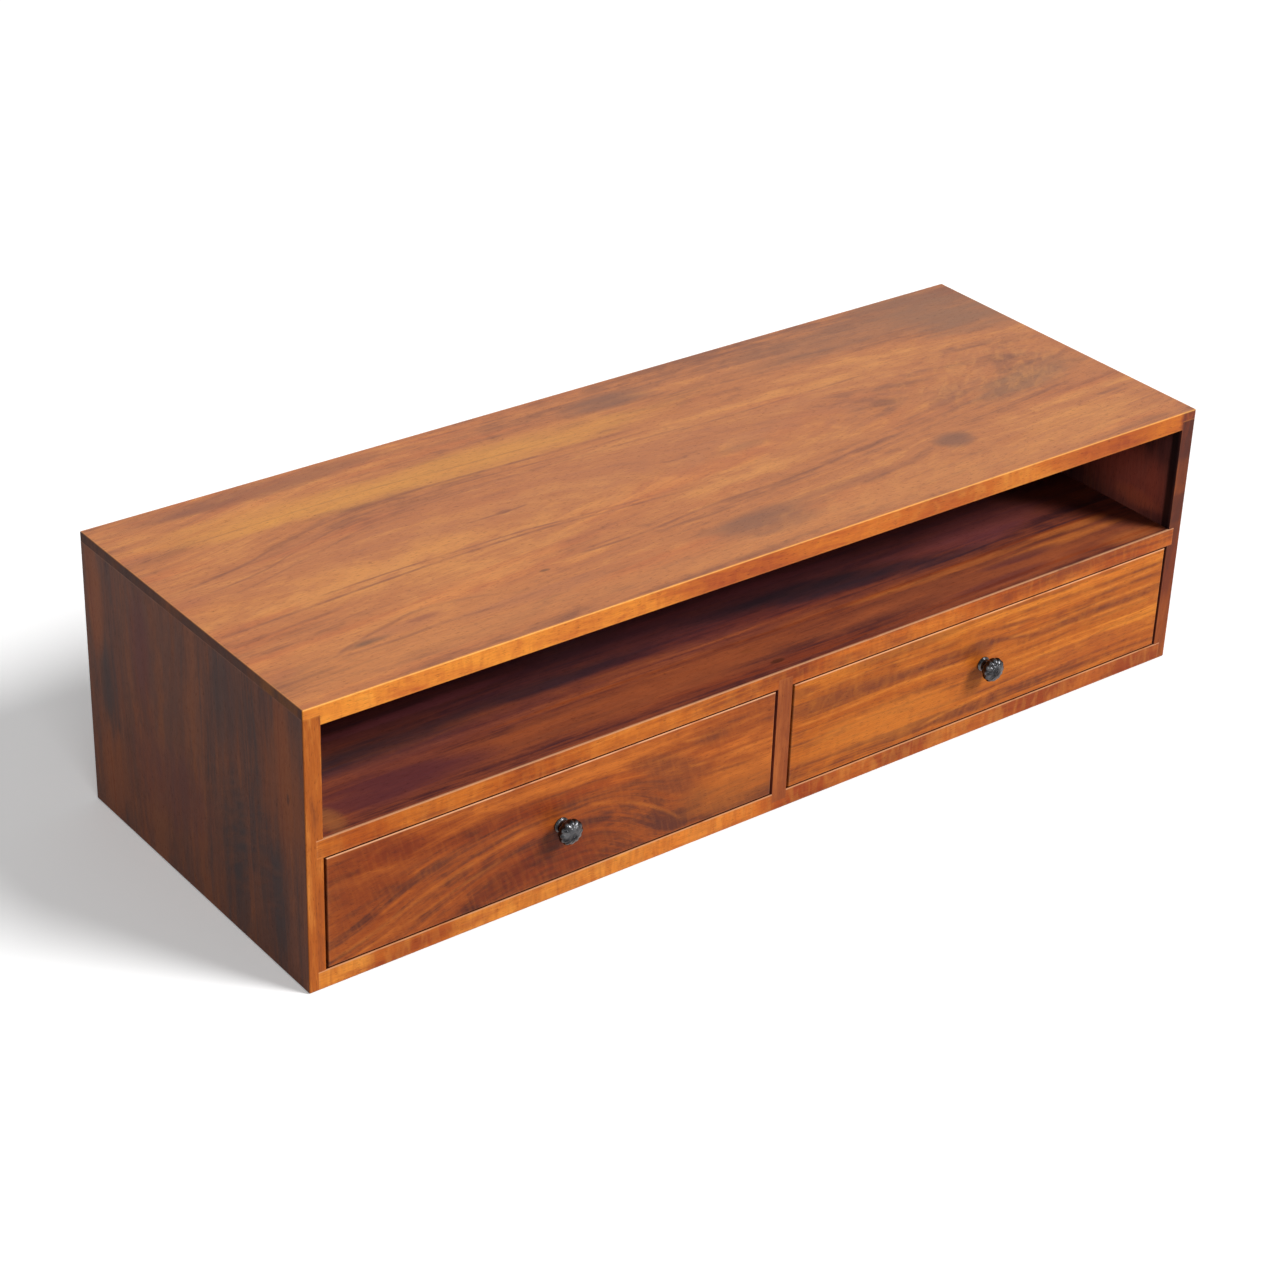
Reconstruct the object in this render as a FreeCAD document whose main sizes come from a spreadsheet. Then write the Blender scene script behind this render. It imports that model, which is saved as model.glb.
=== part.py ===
import FreeCAD, Part

"""Wall-hung media console in solid wood: an open shelf over two dovetailed drawers.

The case frame has X along the width, Y from the front to the back and Z up. Its origin is the
centre of the underside. Every board, rail, runner, drawer piece and group of like screws is a
body of its own. Lengths are in millimetres.
"""
import math
import os

import Sketcher

Vector = FreeCAD.Vector

# ---------------------------------------------------------------------------------------------
# Driving dimensions
# ---------------------------------------------------------------------------------------------

SIZES = {
    # case, outside
    "overall_width": 1100,
    "overall_depth": 400,
    "overall_height": 300,
    # case boards
    "top_thickness": 20,
    "bottom_thickness": 20,
    "shelf_thickness": 20,
    "side_thickness": 18,
    "divider_thickness": 18,
    "drawer_opening_height": 122,
    "arris_radius": 1.5,
    # case joints
    "top_lap_thickness": 10,
    "bottom_rebate_depth": 8,
    "shelf_housing_depth": 7,
    "divider_housing_depth": 10,
    # back panel and the two hanging rails behind it
    "back_panel_thickness": 8,
    "back_groove_depth": 8,
    "panel_play": 0.2,
    "rail_thickness": 18,
    "rail_height": 45,
    "tenon_length": 10,
    "tenon_thickness": 8,
    "tenon_height": 30,
    "mortise_play": 0.2,
    "wall_hole_spacing": 800,
    "wall_hole_radius": 2.75,
    "cable_hole_radius": 25,
    # drawer fit in its opening
    "drawer_side_gap": 3,
    "drawer_top_gap": 2,
    "drawer_bottom_gap": 1.5,
    "drawer_rear_clearance": 14,
    # drawer boards
    "front_thickness": 20,
    "front_arris_radius": 1.2,
    "box_side_thickness": 12,
    "box_back_thickness": 12,
    "box_drop": 6,
    "box_top_clearance": 12.5,
    "drawer_bottom_thickness": 6,
    "bottom_groove_depth": 5,
    "bottom_groove_offset": 8,
    "drawer_bottom_play": 0.15,
    # drawer dovetails
    "front_lap": 5,
    "pin_width": 9,
    "dovetail_slope": 0.16,
    # side-hung running gear
    "runner_setback": 45,
    "runner_groove_depth": 6,
    "runner_groove_height": 15,
    "running_clearance": 0.3,
    "runner_nose": 2,
    # countersunk wood screws
    "screw_head_radius": 3.2,
    "screw_head_height": 2,
    "screw_shank_radius": 1.6,
    "screw_clearance": 0.1,
    "runner_screw_length": 15,
    "runner_screw_inset": 25,
    # knob and its machine screw
    "knob_radius": 13.6,
    "knob_projection": 23,
    "knob_front_depth": 6.8,
    "knob_rear_depth": 9.6,
    "knob_stem_radius": 6.8,
    "knob_base_radius": 8,
    "knob_base_thickness": 1.6,
    "knob_front_flat_radius": 2.6,
    "knob_thread_depth": 12,
    "knob_screw_radius": 2,
    "knob_screw_head_radius": 4,
    "knob_screw_head_height": 2.4,
    "knob_screw_clearance": 0.1,
}

# counts
TAILS = 3
RUNNER_SCREWS = 2
KNOB_FACETS = 12

# the knob's radius is multiplied by these where its facets turn, from the front to the stem
KNOB_CROWN_RATIO = 0.62
KNOB_BROW_RATIO = 0.9
KNOB_SWELL_RATIO = 0.87

# the sign of X from an outer face inwards
LEFT = 1
RIGHT = -1

# ---------------------------------------------------------------------------------------------
# Places and sizes that follow from the driving dimensions, as expressions
# ---------------------------------------------------------------------------------------------

HALF_WIDTH = "(sizes.overall_width / 2)"
HALF_DEPTH = "(sizes.overall_depth / 2)"
INNER_HALF_WIDTH = f"({HALF_WIDTH} - sizes.side_thickness)"
TOP_UNDERSIDE = "(sizes.overall_height - sizes.top_thickness)"
SIDE_HEIGHT = "(sizes.overall_height - sizes.top_lap_thickness)"
SHELF_UNDERSIDE = "(sizes.bottom_thickness + sizes.drawer_opening_height)"
SHELF_TOP = f"({SHELF_UNDERSIDE} + sizes.shelf_thickness)"

PANEL_REAR = f"({HALF_DEPTH} - sizes.rail_thickness)"
PANEL_FRONT = f"({PANEL_REAR} - sizes.back_panel_thickness)"
BOARD_DEPTH = f"({PANEL_FRONT} + {HALF_DEPTH})"
RAIL_MIDDLE = f"({HALF_DEPTH} - sizes.rail_thickness / 2)"
UPPER_RAIL_Z = f"({TOP_UNDERSIDE} - sizes.rail_height / 2)"
LOWER_RAIL_Z = "(sizes.bottom_thickness + sizes.rail_height / 2)"
CABLE_HOLE_Z = f"(({SHELF_TOP} + {TOP_UNDERSIDE} - sizes.rail_height) / 2)"

OPENING_WIDTH = f"({INNER_HALF_WIDTH} - sizes.divider_thickness / 2)"
OPENING_CENTER = f"(({INNER_HALF_WIDTH} + sizes.divider_thickness / 2) / 2)"
DRAWER_HALF_WIDTH = f"({OPENING_WIDTH} / 2 - sizes.drawer_side_gap)"
DRAWER_Z = "(sizes.bottom_thickness + sizes.drawer_bottom_gap)"
FRONT_HEIGHT = "(sizes.drawer_opening_height - sizes.drawer_top_gap - sizes.drawer_bottom_gap)"
BOX_HEIGHT = f"({FRONT_HEIGHT} - sizes.box_drop - sizes.box_top_clearance)"
BOX_LENGTH = f"({BOARD_DEPTH} - sizes.drawer_rear_clearance)"
BOX_BACK_FRONT = f"({BOX_LENGTH} - sizes.box_back_thickness)"
BOX_INNER_HALF_WIDTH = f"({DRAWER_HALF_WIDTH} - sizes.box_side_thickness)"
BOTTOM_GROOVE_Z = "(sizes.box_drop + sizes.bottom_groove_offset)"
BOTTOM_GROOVE_HEIGHT = "(sizes.drawer_bottom_thickness + 2 * sizes.drawer_bottom_play)"

PITCH = f"({BOX_HEIGHT} / {TAILS})"
TAIL_END_HALF = f"(({PITCH} - sizes.pin_width) / 2)"

RUNNER_Z = f"(sizes.box_drop + {BOX_HEIGHT} / 2)"
RUNNER_LENGTH = f"({BOX_LENGTH} - sizes.runner_setback)"
RUNNER_THICKNESS = "(sizes.drawer_side_gap + sizes.runner_groove_depth - sizes.running_clearance)"
RUNNER_HEIGHT = "(sizes.runner_groove_height - 2 * sizes.running_clearance)"
RUNNER_SCREW_SPAN = f"({RUNNER_LENGTH} - 2 * sizes.runner_screw_inset)"
RUNNER_SCREW_Y = f"(sizes.runner_setback + sizes.runner_screw_inset - {HALF_DEPTH})"
RUNNER_CASE_Z = f"({DRAWER_Z} + {RUNNER_Z})"
PILOT_DEPTH = f"(sizes.runner_screw_length + sizes.screw_clearance - {RUNNER_THICKNESS})"

KNOB_WIDEST_Y = "(sizes.knob_front_depth - sizes.knob_projection)"

doc = FreeCAD.newDocument("media_console")
sheet = doc.addObject("Spreadsheet::Sheet", "sizes")
exports = []


def fill_sheet():
    """Writes each driving dimension as plain text beside its name, and names the cell."""
    for row, (alias, number) in enumerate(SIZES.items(), start=1):
        sheet.set(f"A{row}", alias)
        sheet.set(f"B{row}", str(number))
        sheet.setAlias(f"B{row}", alias)
    doc.recompute()


def value(expression):
    """The present number that an expression stands for."""
    return float(sheet.evalExpression(expression))


# ---------------------------------------------------------------------------------------------
# Bodies, sketches and features
# ---------------------------------------------------------------------------------------------


def new_body(label, x="0", y="0", z="0", solids=1):
    """An empty body placed by three expressions. Its label names its file."""
    body = doc.addObject("PartDesign::Body", label)
    body.Label = label
    body.AllowCompound = solids > 1
    for axis, expression in zip("xyz", (x, y, z)):
        body.setExpression(f"Placement.Base.{axis}", expression)
    exports.append((body, solids))
    return body


def origin_feature(body, role):
    """One of the body's own origin planes or axes."""
    return next(f for f in body.Origin.OriginFeatures if f.Role == role)


def new_sketch(body, name, role, at=("0", "0", "0")):
    """A sketch in an origin plane of the body, moved so that its own origin is at the point."""
    sketch = body.newObject("Sketcher::SketchObject", f"{body.Name}_{name}_sketch")
    sketch.AttachmentSupport = [(origin_feature(body, role), "")]
    sketch.MapMode = "FlatFace"
    x, y, z = at
    offsets = {"XY_Plane": (x, y, z), "XZ_Plane": (x, z, f"-({y})"), "YZ_Plane": (y, z, x)}
    for axis, expression in zip("xyz", offsets[role]):
        sketch.setExpression(f"AttachmentOffset.Base.{axis}", expression)
    return sketch


def fix_point(sketch, geometry, which, point):
    """Holds one point of a sketch at two expressions, measured from the sketch's origin."""
    for kind, expression in zip(("DistanceX", "DistanceY"), point):
        constraint = Sketcher.Constraint(kind, -1, 1, geometry, which, value(expression))
        index = sketch.addConstraint(constraint)
        sketch.setExpression(f"Constraints[{index}]", expression)


def draw_outline(sketch, points):
    """A closed outline of straight lines through points that are pairs of expressions."""
    places = [Vector(value(x), value(y), 0) for x, y in points]
    count = len(points)
    for i in range(count):
        sketch.addGeometry(Part.LineSegment(places[i], places[(i + 1) % count]))
    for i in range(count):
        sketch.addConstraint(Sketcher.Constraint("Coincident", i, 2, (i + 1) % count, 1))
        fix_point(sketch, i, 1, points[i])


def draw_rectangle(sketch, low, high):
    """A rectangle between two corners that are pairs of expressions."""
    draw_outline(sketch, [low, (high[0], low[1]), high, (low[0], high[1])])


def draw_circle(sketch, center, radius):
    """A circle held at its centre and by its radius."""
    place = Vector(value(center[0]), value(center[1]), 0)
    sketch.addGeometry(Part.Circle(place, Vector(0, 0, 1), value(radius)))
    fix_point(sketch, 0, 3, center)
    index = sketch.addConstraint(Sketcher.Constraint("Radius", 0, value(radius)))
    sketch.setExpression(f"Constraints[{index}]", radius)


def pad(body, sketch, length, against_normal=False, both_ways=False):
    """Fills the sketch's outline over a length."""
    feature = body.newObject("PartDesign::Pad", sketch.Name.replace("_sketch", "_pad"))
    feature.Profile = sketch
    feature.setExpression("Length", length)
    feature.Reversed = against_normal
    feature.Midplane = both_ways
    return feature


def pocket(body, sketch, depth, along_normal):
    """Cuts the sketch's outline to a depth, along its plane's normal or against it."""
    feature = body.newObject("PartDesign::Pocket", sketch.Name.replace("_sketch", "_pocket"))
    feature.Profile = sketch
    feature.setExpression("Length", depth)
    feature.Reversed = along_normal
    return feature


def cut_up(body, name, low, high, level, height):
    """Cuts an upright prism with a rectangular plan, from a level upwards."""
    sketch = new_sketch(body, name, "XY_Plane", ("0", "0", level))
    draw_rectangle(sketch, low, high)
    return pocket(body, sketch, height, along_normal=True)


def cut_round(body, name, x, z, radius, y, depth):
    """Cuts a round hole that runs back along Y from a level."""
    sketch = new_sketch(body, name, "XZ_Plane", (x, y, z))
    draw_circle(sketch, ("0", "0"), radius)
    return pocket(body, sketch, depth, along_normal=False)


def repeat(body, feature, axis, span, count):
    """Repeats a feature in a straight row, and makes the row the body's tip."""
    row = body.newObject("PartDesign::LinearPattern", f"{feature.Name}_row")
    row.Originals = [feature]
    row.Direction = (origin_feature(body, axis), [""])
    row.setExpression("Length", span)
    row.Occurrences = count
    body.Tip = row


def repeat_round(body, feature, axis, count):
    """Repeats a feature at equal angles round an axis, and makes the ring the body's tip."""
    ring = body.newObject("PartDesign::PolarPattern", f"{feature.Name}_ring")
    ring.Originals = [feature]
    ring.Axis = (origin_feature(body, axis), [""])
    ring.Angle = 360
    ring.Occurrences = count
    body.Tip = ring


def turn(body, kind, name, role, at, axis, points):
    """Revolves an outline once round its sketch's own axis, to add or to cut."""
    sketch = new_sketch(body, name, role, at)
    draw_outline(sketch, points)
    feature = body.newObject(f"PartDesign::{kind}", f"{body.Name}_{name}")
    feature.Profile = sketch
    feature.ReferenceAxis = (sketch, [axis])
    feature.Angle = 360
    return feature


def edges_at(shape, **levels):
    """Names of the edges that lie wholly at the given x, y or z levels."""
    near = 0.001
    names = []
    for number, edge in enumerate(shape.Edges, start=1):
        corners = [vertex.Point for vertex in edge.Vertexes]
        if all(abs(getattr(p, axis) - level) < near for p in corners for axis, level in levels.items()):
            names.append(f"Edge{number}")
    return names


def round_edges(body, names, radius):
    """Eases the named edges of the body's tip."""
    base = body.Tip
    fillet = body.newObject("PartDesign::Fillet", f"{body.Name}_arrises")
    fillet.Base = (base, sorted(set(names)))
    fillet.setExpression("Radius", radius)
    return fillet


def signed(hand, expression):
    """The expression, or its mirror image for the right hand."""
    return expression if hand == LEFT else f"-({expression})"


# ---------------------------------------------------------------------------------------------
# Screws and their holes
# ---------------------------------------------------------------------------------------------


def screw_outline(direction, clearance="0"):
    """Half outline of a countersunk screw: along its axis from the head's face, and out from it."""
    head = f"(sizes.screw_head_radius + {clearance})"
    shank = f"(sizes.screw_shank_radius + {clearance})"
    end = f"(sizes.runner_screw_length + {clearance})"
    stations = [("0", "0"), ("0", head), ("sizes.screw_head_height", shank), (end, shank), (end, "0")]
    return [(signed(direction, along), out) for along, out in stations]


def pilot_holes(body, name, face, hand):
    """Holes in a case board for one runner's screws, cut into the face that the runner is on."""
    sketch = new_sketch(body, name, "YZ_Plane", (face, RUNNER_SCREW_Y, RUNNER_CASE_Z))
    draw_circle(sketch, ("0", "0"), "(sizes.screw_shank_radius + sizes.screw_clearance)")
    hole = pocket(body, sketch, PILOT_DEPTH, along_normal=hand == RIGHT)
    doc.recompute()
    repeat(body, hole, "Y_Axis", RUNNER_SCREW_SPAN, RUNNER_SCREWS)


# ---------------------------------------------------------------------------------------------
# Case
# ---------------------------------------------------------------------------------------------


def make_top():
    """The top board laps over both sides: each end is rebated to a tongue."""
    body = new_body("top_panel", z=TOP_UNDERSIDE)
    face = "sizes.top_thickness"
    lap = f"({face} - sizes.top_lap_thickness)"
    sketch = new_sketch(body, "section", "XZ_Plane")
    draw_outline(
        sketch,
        [
            (f"-{INNER_HALF_WIDTH}", "0"),
            (INNER_HALF_WIDTH, "0"),
            (INNER_HALF_WIDTH, lap),
            (HALF_WIDTH, lap),
            (HALF_WIDTH, face),
            (f"-{HALF_WIDTH}", face),
            (f"-{HALF_WIDTH}", lap),
            (f"-{INNER_HALF_WIDTH}", lap),
        ],
    )
    pad(body, sketch, "sizes.overall_depth", both_ways=True)
    cut_up(body, "back_groove", *back_groove_plan(INNER_HALF_WIDTH), "0", "sizes.back_groove_depth")
    doc.recompute()
    shape = body.Tip.Shape
    x, y, z = value(HALF_WIDTH), value(HALF_DEPTH), value(face)
    names = edges_at(shape, z=z)
    for end in (-x, x):
        for side in (-y, y):
            names += edges_at(shape, x=end, y=side)
    round_edges(body, names, "sizes.arris_radius")


def back_groove_plan(half_length):
    """Two corners of the back panel's groove in plan, in a board that is centred on X."""
    low = (f"-{half_length}", f"({PANEL_FRONT} - sizes.panel_play)")
    high = (half_length, f"({PANEL_REAR} + sizes.panel_play)")
    return low, high


def make_bottom():
    """The bottom board sits in rebates in the sides and is grooved for the back and divider."""
    body = new_body("bottom_panel")
    half_length = f"({INNER_HALF_WIDTH} + sizes.bottom_rebate_depth)"
    sketch = new_sketch(body, "plan", "XY_Plane")
    draw_rectangle(sketch, (f"-{half_length}", f"-{HALF_DEPTH}"), (half_length, HALF_DEPTH))
    pad(body, sketch, "sizes.bottom_thickness")
    groove_floor = "(sizes.bottom_thickness - sizes.back_groove_depth)"
    plan = back_groove_plan(half_length)
    cut_up(body, "back_groove", *plan, groove_floor, "sizes.back_groove_depth")
    housing_floor = "(sizes.bottom_thickness - sizes.divider_housing_depth)"
    cut_up(body, "divider_housing", *divider_plan(), housing_floor, "sizes.divider_housing_depth")
    doc.recompute()
    y = value(HALF_DEPTH)
    shape = body.Tip.Shape
    names = edges_at(shape, y=-y, z=0) + edges_at(shape, y=y, z=0)
    round_edges(body, names, "sizes.arris_radius")


def divider_plan():
    """Two corners of the divider in plan."""
    half = "(sizes.divider_thickness / 2)"
    return (f"-{half}", f"-{HALF_DEPTH}"), (half, PANEL_FRONT)


def make_side(label, hand):
    """A side board: its outer face is at its own X = 0 and its inner face is inboard."""
    body = new_body(label, x=signed(hand, f"-{HALF_WIDTH}"))
    thickness = "sizes.side_thickness"
    groove = f"({thickness} - sizes.back_groove_depth)"
    groove_front = f"({PANEL_FRONT} - sizes.panel_play)"
    groove_rear = f"({PANEL_REAR} + sizes.panel_play)"
    plan = [
        ("0", f"-{HALF_DEPTH}"),
        (thickness, f"-{HALF_DEPTH}"),
        (thickness, groove_front),
        (groove, groove_front),
        (groove, groove_rear),
        (thickness, groove_rear),
        (thickness, HALF_DEPTH),
        ("0", HALF_DEPTH),
    ]
    sketch = new_sketch(body, "plan", "XY_Plane")
    draw_outline(sketch, [(signed(hand, x), y) for x, y in plan])
    pad(body, sketch, SIDE_HEIGHT)

    def cut_inside(name, depth, front, rear, level, height):
        low = (signed(hand, f"({thickness} - {depth})"), front)
        high = (signed(hand, thickness), rear)
        cut_up(body, name, low, high, level, height)

    front, rear = f"-{HALF_DEPTH}", HALF_DEPTH
    cut_inside("bottom_rebate", "sizes.bottom_rebate_depth", front, rear, "0", "sizes.bottom_thickness")
    housing = ("sizes.shelf_housing_depth", front, PANEL_FRONT, SHELF_UNDERSIDE, "sizes.shelf_thickness")
    cut_inside("shelf_housing", *housing)
    half = "(sizes.tenon_thickness / 2 + sizes.mortise_play)"
    depth = "(sizes.tenon_length + sizes.mortise_play)"
    height = "(sizes.tenon_height + 2 * sizes.mortise_play)"
    for name, middle in (("upper_mortise", UPPER_RAIL_Z), ("lower_mortise", LOWER_RAIL_Z)):
        level = f"({middle} - {height} / 2)"
        cut_inside(name, depth, f"({RAIL_MIDDLE} - {half})", f"({RAIL_MIDDLE} + {half})", level, height)
    pilot_holes(body, "pilot_hole", signed(hand, thickness), hand)
    doc.recompute()
    shape = body.Tip.Shape
    y = value(HALF_DEPTH)
    names = edges_at(shape, x=0, z=0)
    for side in (-y, y):
        names += edges_at(shape, x=0, y=side)
        names += edges_at(shape, y=side, z=0)
    round_edges(body, names, "sizes.arris_radius")


def make_shelf():
    """The shelf is housed in the sides and takes the divider in its underside."""
    body = new_body("shelf_panel", z=SHELF_UNDERSIDE)
    half_length = f"({INNER_HALF_WIDTH} + sizes.shelf_housing_depth)"
    sketch = new_sketch(body, "plan", "XY_Plane")
    draw_rectangle(sketch, (f"-{half_length}", f"-{HALF_DEPTH}"), (half_length, PANEL_FRONT))
    pad(body, sketch, "sizes.shelf_thickness")
    cut_up(body, "divider_housing", *divider_plan(), "0", "sizes.divider_housing_depth")


def make_divider():
    """The upright between the drawers, housed in the shelf and in the bottom board."""
    foot = "(sizes.bottom_thickness - sizes.divider_housing_depth)"
    body = new_body("center_divider")
    sketch = new_sketch(body, "plan", "XY_Plane", ("0", "0", foot))
    draw_rectangle(sketch, *divider_plan())
    pad(body, sketch, "(sizes.drawer_opening_height + 2 * sizes.divider_housing_depth)")
    half = "(sizes.divider_thickness / 2)"
    pilot_holes(body, "left_pilot_hole", f"-{half}", RIGHT)
    pilot_holes(body, "right_pilot_hole", half, LEFT)


def make_back_panel():
    """The back floats in grooves on all four sides, with holes for cables and the wall screws."""
    body = new_body("back_panel")
    tongue = "(sizes.back_groove_depth - sizes.panel_play)"
    half_length = f"({INNER_HALF_WIDTH} + {tongue})"
    sketch = new_sketch(body, "face", "XZ_Plane", ("0", PANEL_FRONT, "0"))
    low = (f"-{half_length}", f"(sizes.bottom_thickness - {tongue})")
    draw_rectangle(sketch, low, (half_length, f"({TOP_UNDERSIDE} + {tongue})"))
    pad(body, sketch, "sizes.back_panel_thickness", against_normal=True)
    thickness = "sizes.back_panel_thickness"
    cut_round(body, "cable_hole", "0", CABLE_HOLE_Z, "sizes.cable_hole_radius", PANEL_FRONT, thickness)
    for name, level in (("upper_wall_hole", UPPER_RAIL_Z), ("lower_wall_hole", LOWER_RAIL_Z)):
        cut_wall_holes(body, name, level, PANEL_FRONT, thickness)


def cut_wall_holes(body, name, level, y, depth):
    """A pair of through holes for the wall screws."""
    x = "(-sizes.wall_hole_spacing / 2)"
    hole = cut_round(body, name, x, level, "sizes.wall_hole_radius", y, depth)
    doc.recompute()
    repeat(body, hole, "X_Axis", "sizes.wall_hole_spacing", 2)


def make_rail(label, middle):
    """A hanging rail behind the back panel, with a stub tenon at each end."""
    body = new_body(label, z=middle)
    half_height = "(sizes.rail_height / 2)"
    sketch = new_sketch(body, "face", "XZ_Plane", ("0", PANEL_REAR, "0"))
    low = (f"-{INNER_HALF_WIDTH}", f"-{half_height}")
    draw_rectangle(sketch, low, (INNER_HALF_WIDTH, half_height))
    pad(body, sketch, "sizes.rail_thickness", against_normal=True)
    half_length = f"({INNER_HALF_WIDTH} + sizes.tenon_length)"
    tenons = new_sketch(body, "tenons", "XZ_Plane", ("0", RAIL_MIDDLE, "0"))
    low = (f"-{half_length}", "(-sizes.tenon_height / 2)")
    draw_rectangle(tenons, low, (half_length, "(sizes.tenon_height / 2)"))
    pad(body, tenons, "sizes.tenon_thickness", both_ways=True)
    cut_wall_holes(body, "wall_hole", "0", PANEL_REAR, "sizes.rail_thickness")


# ---------------------------------------------------------------------------------------------
# Running gear
# ---------------------------------------------------------------------------------------------


def make_runner(label, case_face, hand):
    """A hardwood strip on a case board. Its front end is what stops the closing drawer."""
    body = new_body(label, x=case_face)
    sketch = new_sketch(body, "side_view", "YZ_Plane")
    front = f"(sizes.runner_setback - {HALF_DEPTH})"
    rear = f"({front} + {RUNNER_LENGTH})"
    low = f"({RUNNER_CASE_Z} - {RUNNER_HEIGHT} / 2)"
    high = f"({RUNNER_CASE_Z} + {RUNNER_HEIGHT} / 2)"
    nose = "sizes.runner_nose"
    draw_outline(
        sketch,
        [
            (front, f"({low} + {nose})"),
            (f"({front} + {nose})", low),
            (rear, low),
            (rear, high),
            (f"({front} + {nose})", high),
            (front, f"({high} - {nose})"),
        ],
    )
    pad(body, sketch, RUNNER_THICKNESS, against_normal=hand == RIGHT)
    outline = screw_outline(-hand, "sizes.screw_clearance")
    at = (signed(hand, RUNNER_THICKNESS), RUNNER_SCREW_Y, RUNNER_CASE_Z)
    hole = turn(body, "Groove", "screw_hole", "XY_Plane", at, "H_Axis", outline)
    doc.recompute()
    repeat(body, hole, "Y_Axis", RUNNER_SCREW_SPAN, RUNNER_SCREWS)


def make_runner_screws(label, case_face, hand):
    """The screws of one runner, their heads level with its face."""
    body = new_body(label, x=case_face, solids=RUNNER_SCREWS)
    outline = screw_outline(-hand)
    at = (signed(hand, RUNNER_THICKNESS), RUNNER_SCREW_Y, RUNNER_CASE_Z)
    screw = turn(body, "Revolution", "screw", "XY_Plane", at, "H_Axis", outline)
    doc.recompute()
    repeat(body, screw, "Y_Axis", RUNNER_SCREW_SPAN, RUNNER_SCREWS)


# ---------------------------------------------------------------------------------------------
# Drawers: each piece is drawn with X = 0 at the drawer's middle, Y = 0 at its face
# and Z = 0 at the lower edge of its front
# ---------------------------------------------------------------------------------------------


def drawer_body(label, center):
    """A body that stands in the drawer's own frame."""
    return new_body(label, x=center, y=f"-{HALF_DEPTH}", z=DRAWER_Z)


def tail_outline(root, end):
    """A dovetail seen from the side, centred on Z = 0, between its root and its wider end."""
    length = f"abs({end} - {root})"
    end_half = TAIL_END_HALF
    root_half = f"({TAIL_END_HALF} - sizes.dovetail_slope * {length})"
    return [(root, f"-{root_half}"), (end, f"-{end_half}"), (end, end_half), (root, root_half)]


def pin_outline(root, end):
    """The space between two tails seen from the side, centred on Z = 0."""
    length = f"abs({end} - {root})"
    end_half = "(sizes.pin_width / 2)"
    root_half = f"({end_half} + sizes.dovetail_slope * {length})"
    return [(root, f"-{root_half}"), (end, f"-{end_half}"), (end, end_half), (root, root_half)]


def cut_sockets(body, root, end):
    """Cuts the tails' sockets into both ends of a drawer's front or back."""
    span = f"({PITCH} * {TAILS - 1})"
    middle = f"(sizes.box_drop + {PITCH} / 2)"
    for hand, name in ((LEFT, "left_socket"), (RIGHT, "right_socket")):
        at = (signed(hand, f"-{DRAWER_HALF_WIDTH}"), "0", middle)
        sketch = new_sketch(body, name, "YZ_Plane", at)
        draw_outline(sketch, tail_outline(root, end))
        socket = pocket(body, sketch, "sizes.box_side_thickness", along_normal=hand == LEFT)
        doc.recompute()
        repeat(body, socket, "Z_Axis", span, TAILS)


def make_drawer_front(label, center):
    """The front is lapped over the tails, so no joint shows in its face."""
    body = drawer_body(label, center)
    thickness = "sizes.front_thickness"
    sketch = new_sketch(body, "plan", "XY_Plane")
    draw_rectangle(sketch, (f"-{DRAWER_HALF_WIDTH}", "0"), (DRAWER_HALF_WIDTH, thickness))
    pad(body, sketch, FRONT_HEIGHT)
    groove = f"({BOX_INNER_HALF_WIDTH} + sizes.bottom_groove_depth)"
    low = (f"-{groove}", f"({thickness} - sizes.bottom_groove_depth)")
    cut_up(body, "bottom_groove", low, (groove, thickness), BOTTOM_GROOVE_Z, BOTTOM_GROOVE_HEIGHT)
    hole = "(sizes.knob_screw_radius + sizes.knob_screw_clearance)"
    cut_round(body, "knob_hole", "0", f"({FRONT_HEIGHT} / 2)", hole, "0", thickness)
    cut_sockets(body, thickness, "sizes.front_lap")
    doc.recompute()
    shape = body.Tip.Shape
    x = value(DRAWER_HALF_WIDTH)
    names = edges_at(shape, y=0, z=0) + edges_at(shape, y=0, z=value(FRONT_HEIGHT))
    names += edges_at(shape, y=0, x=-x) + edges_at(shape, y=0, x=x)
    round_edges(body, names, "sizes.front_arris_radius")


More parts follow.
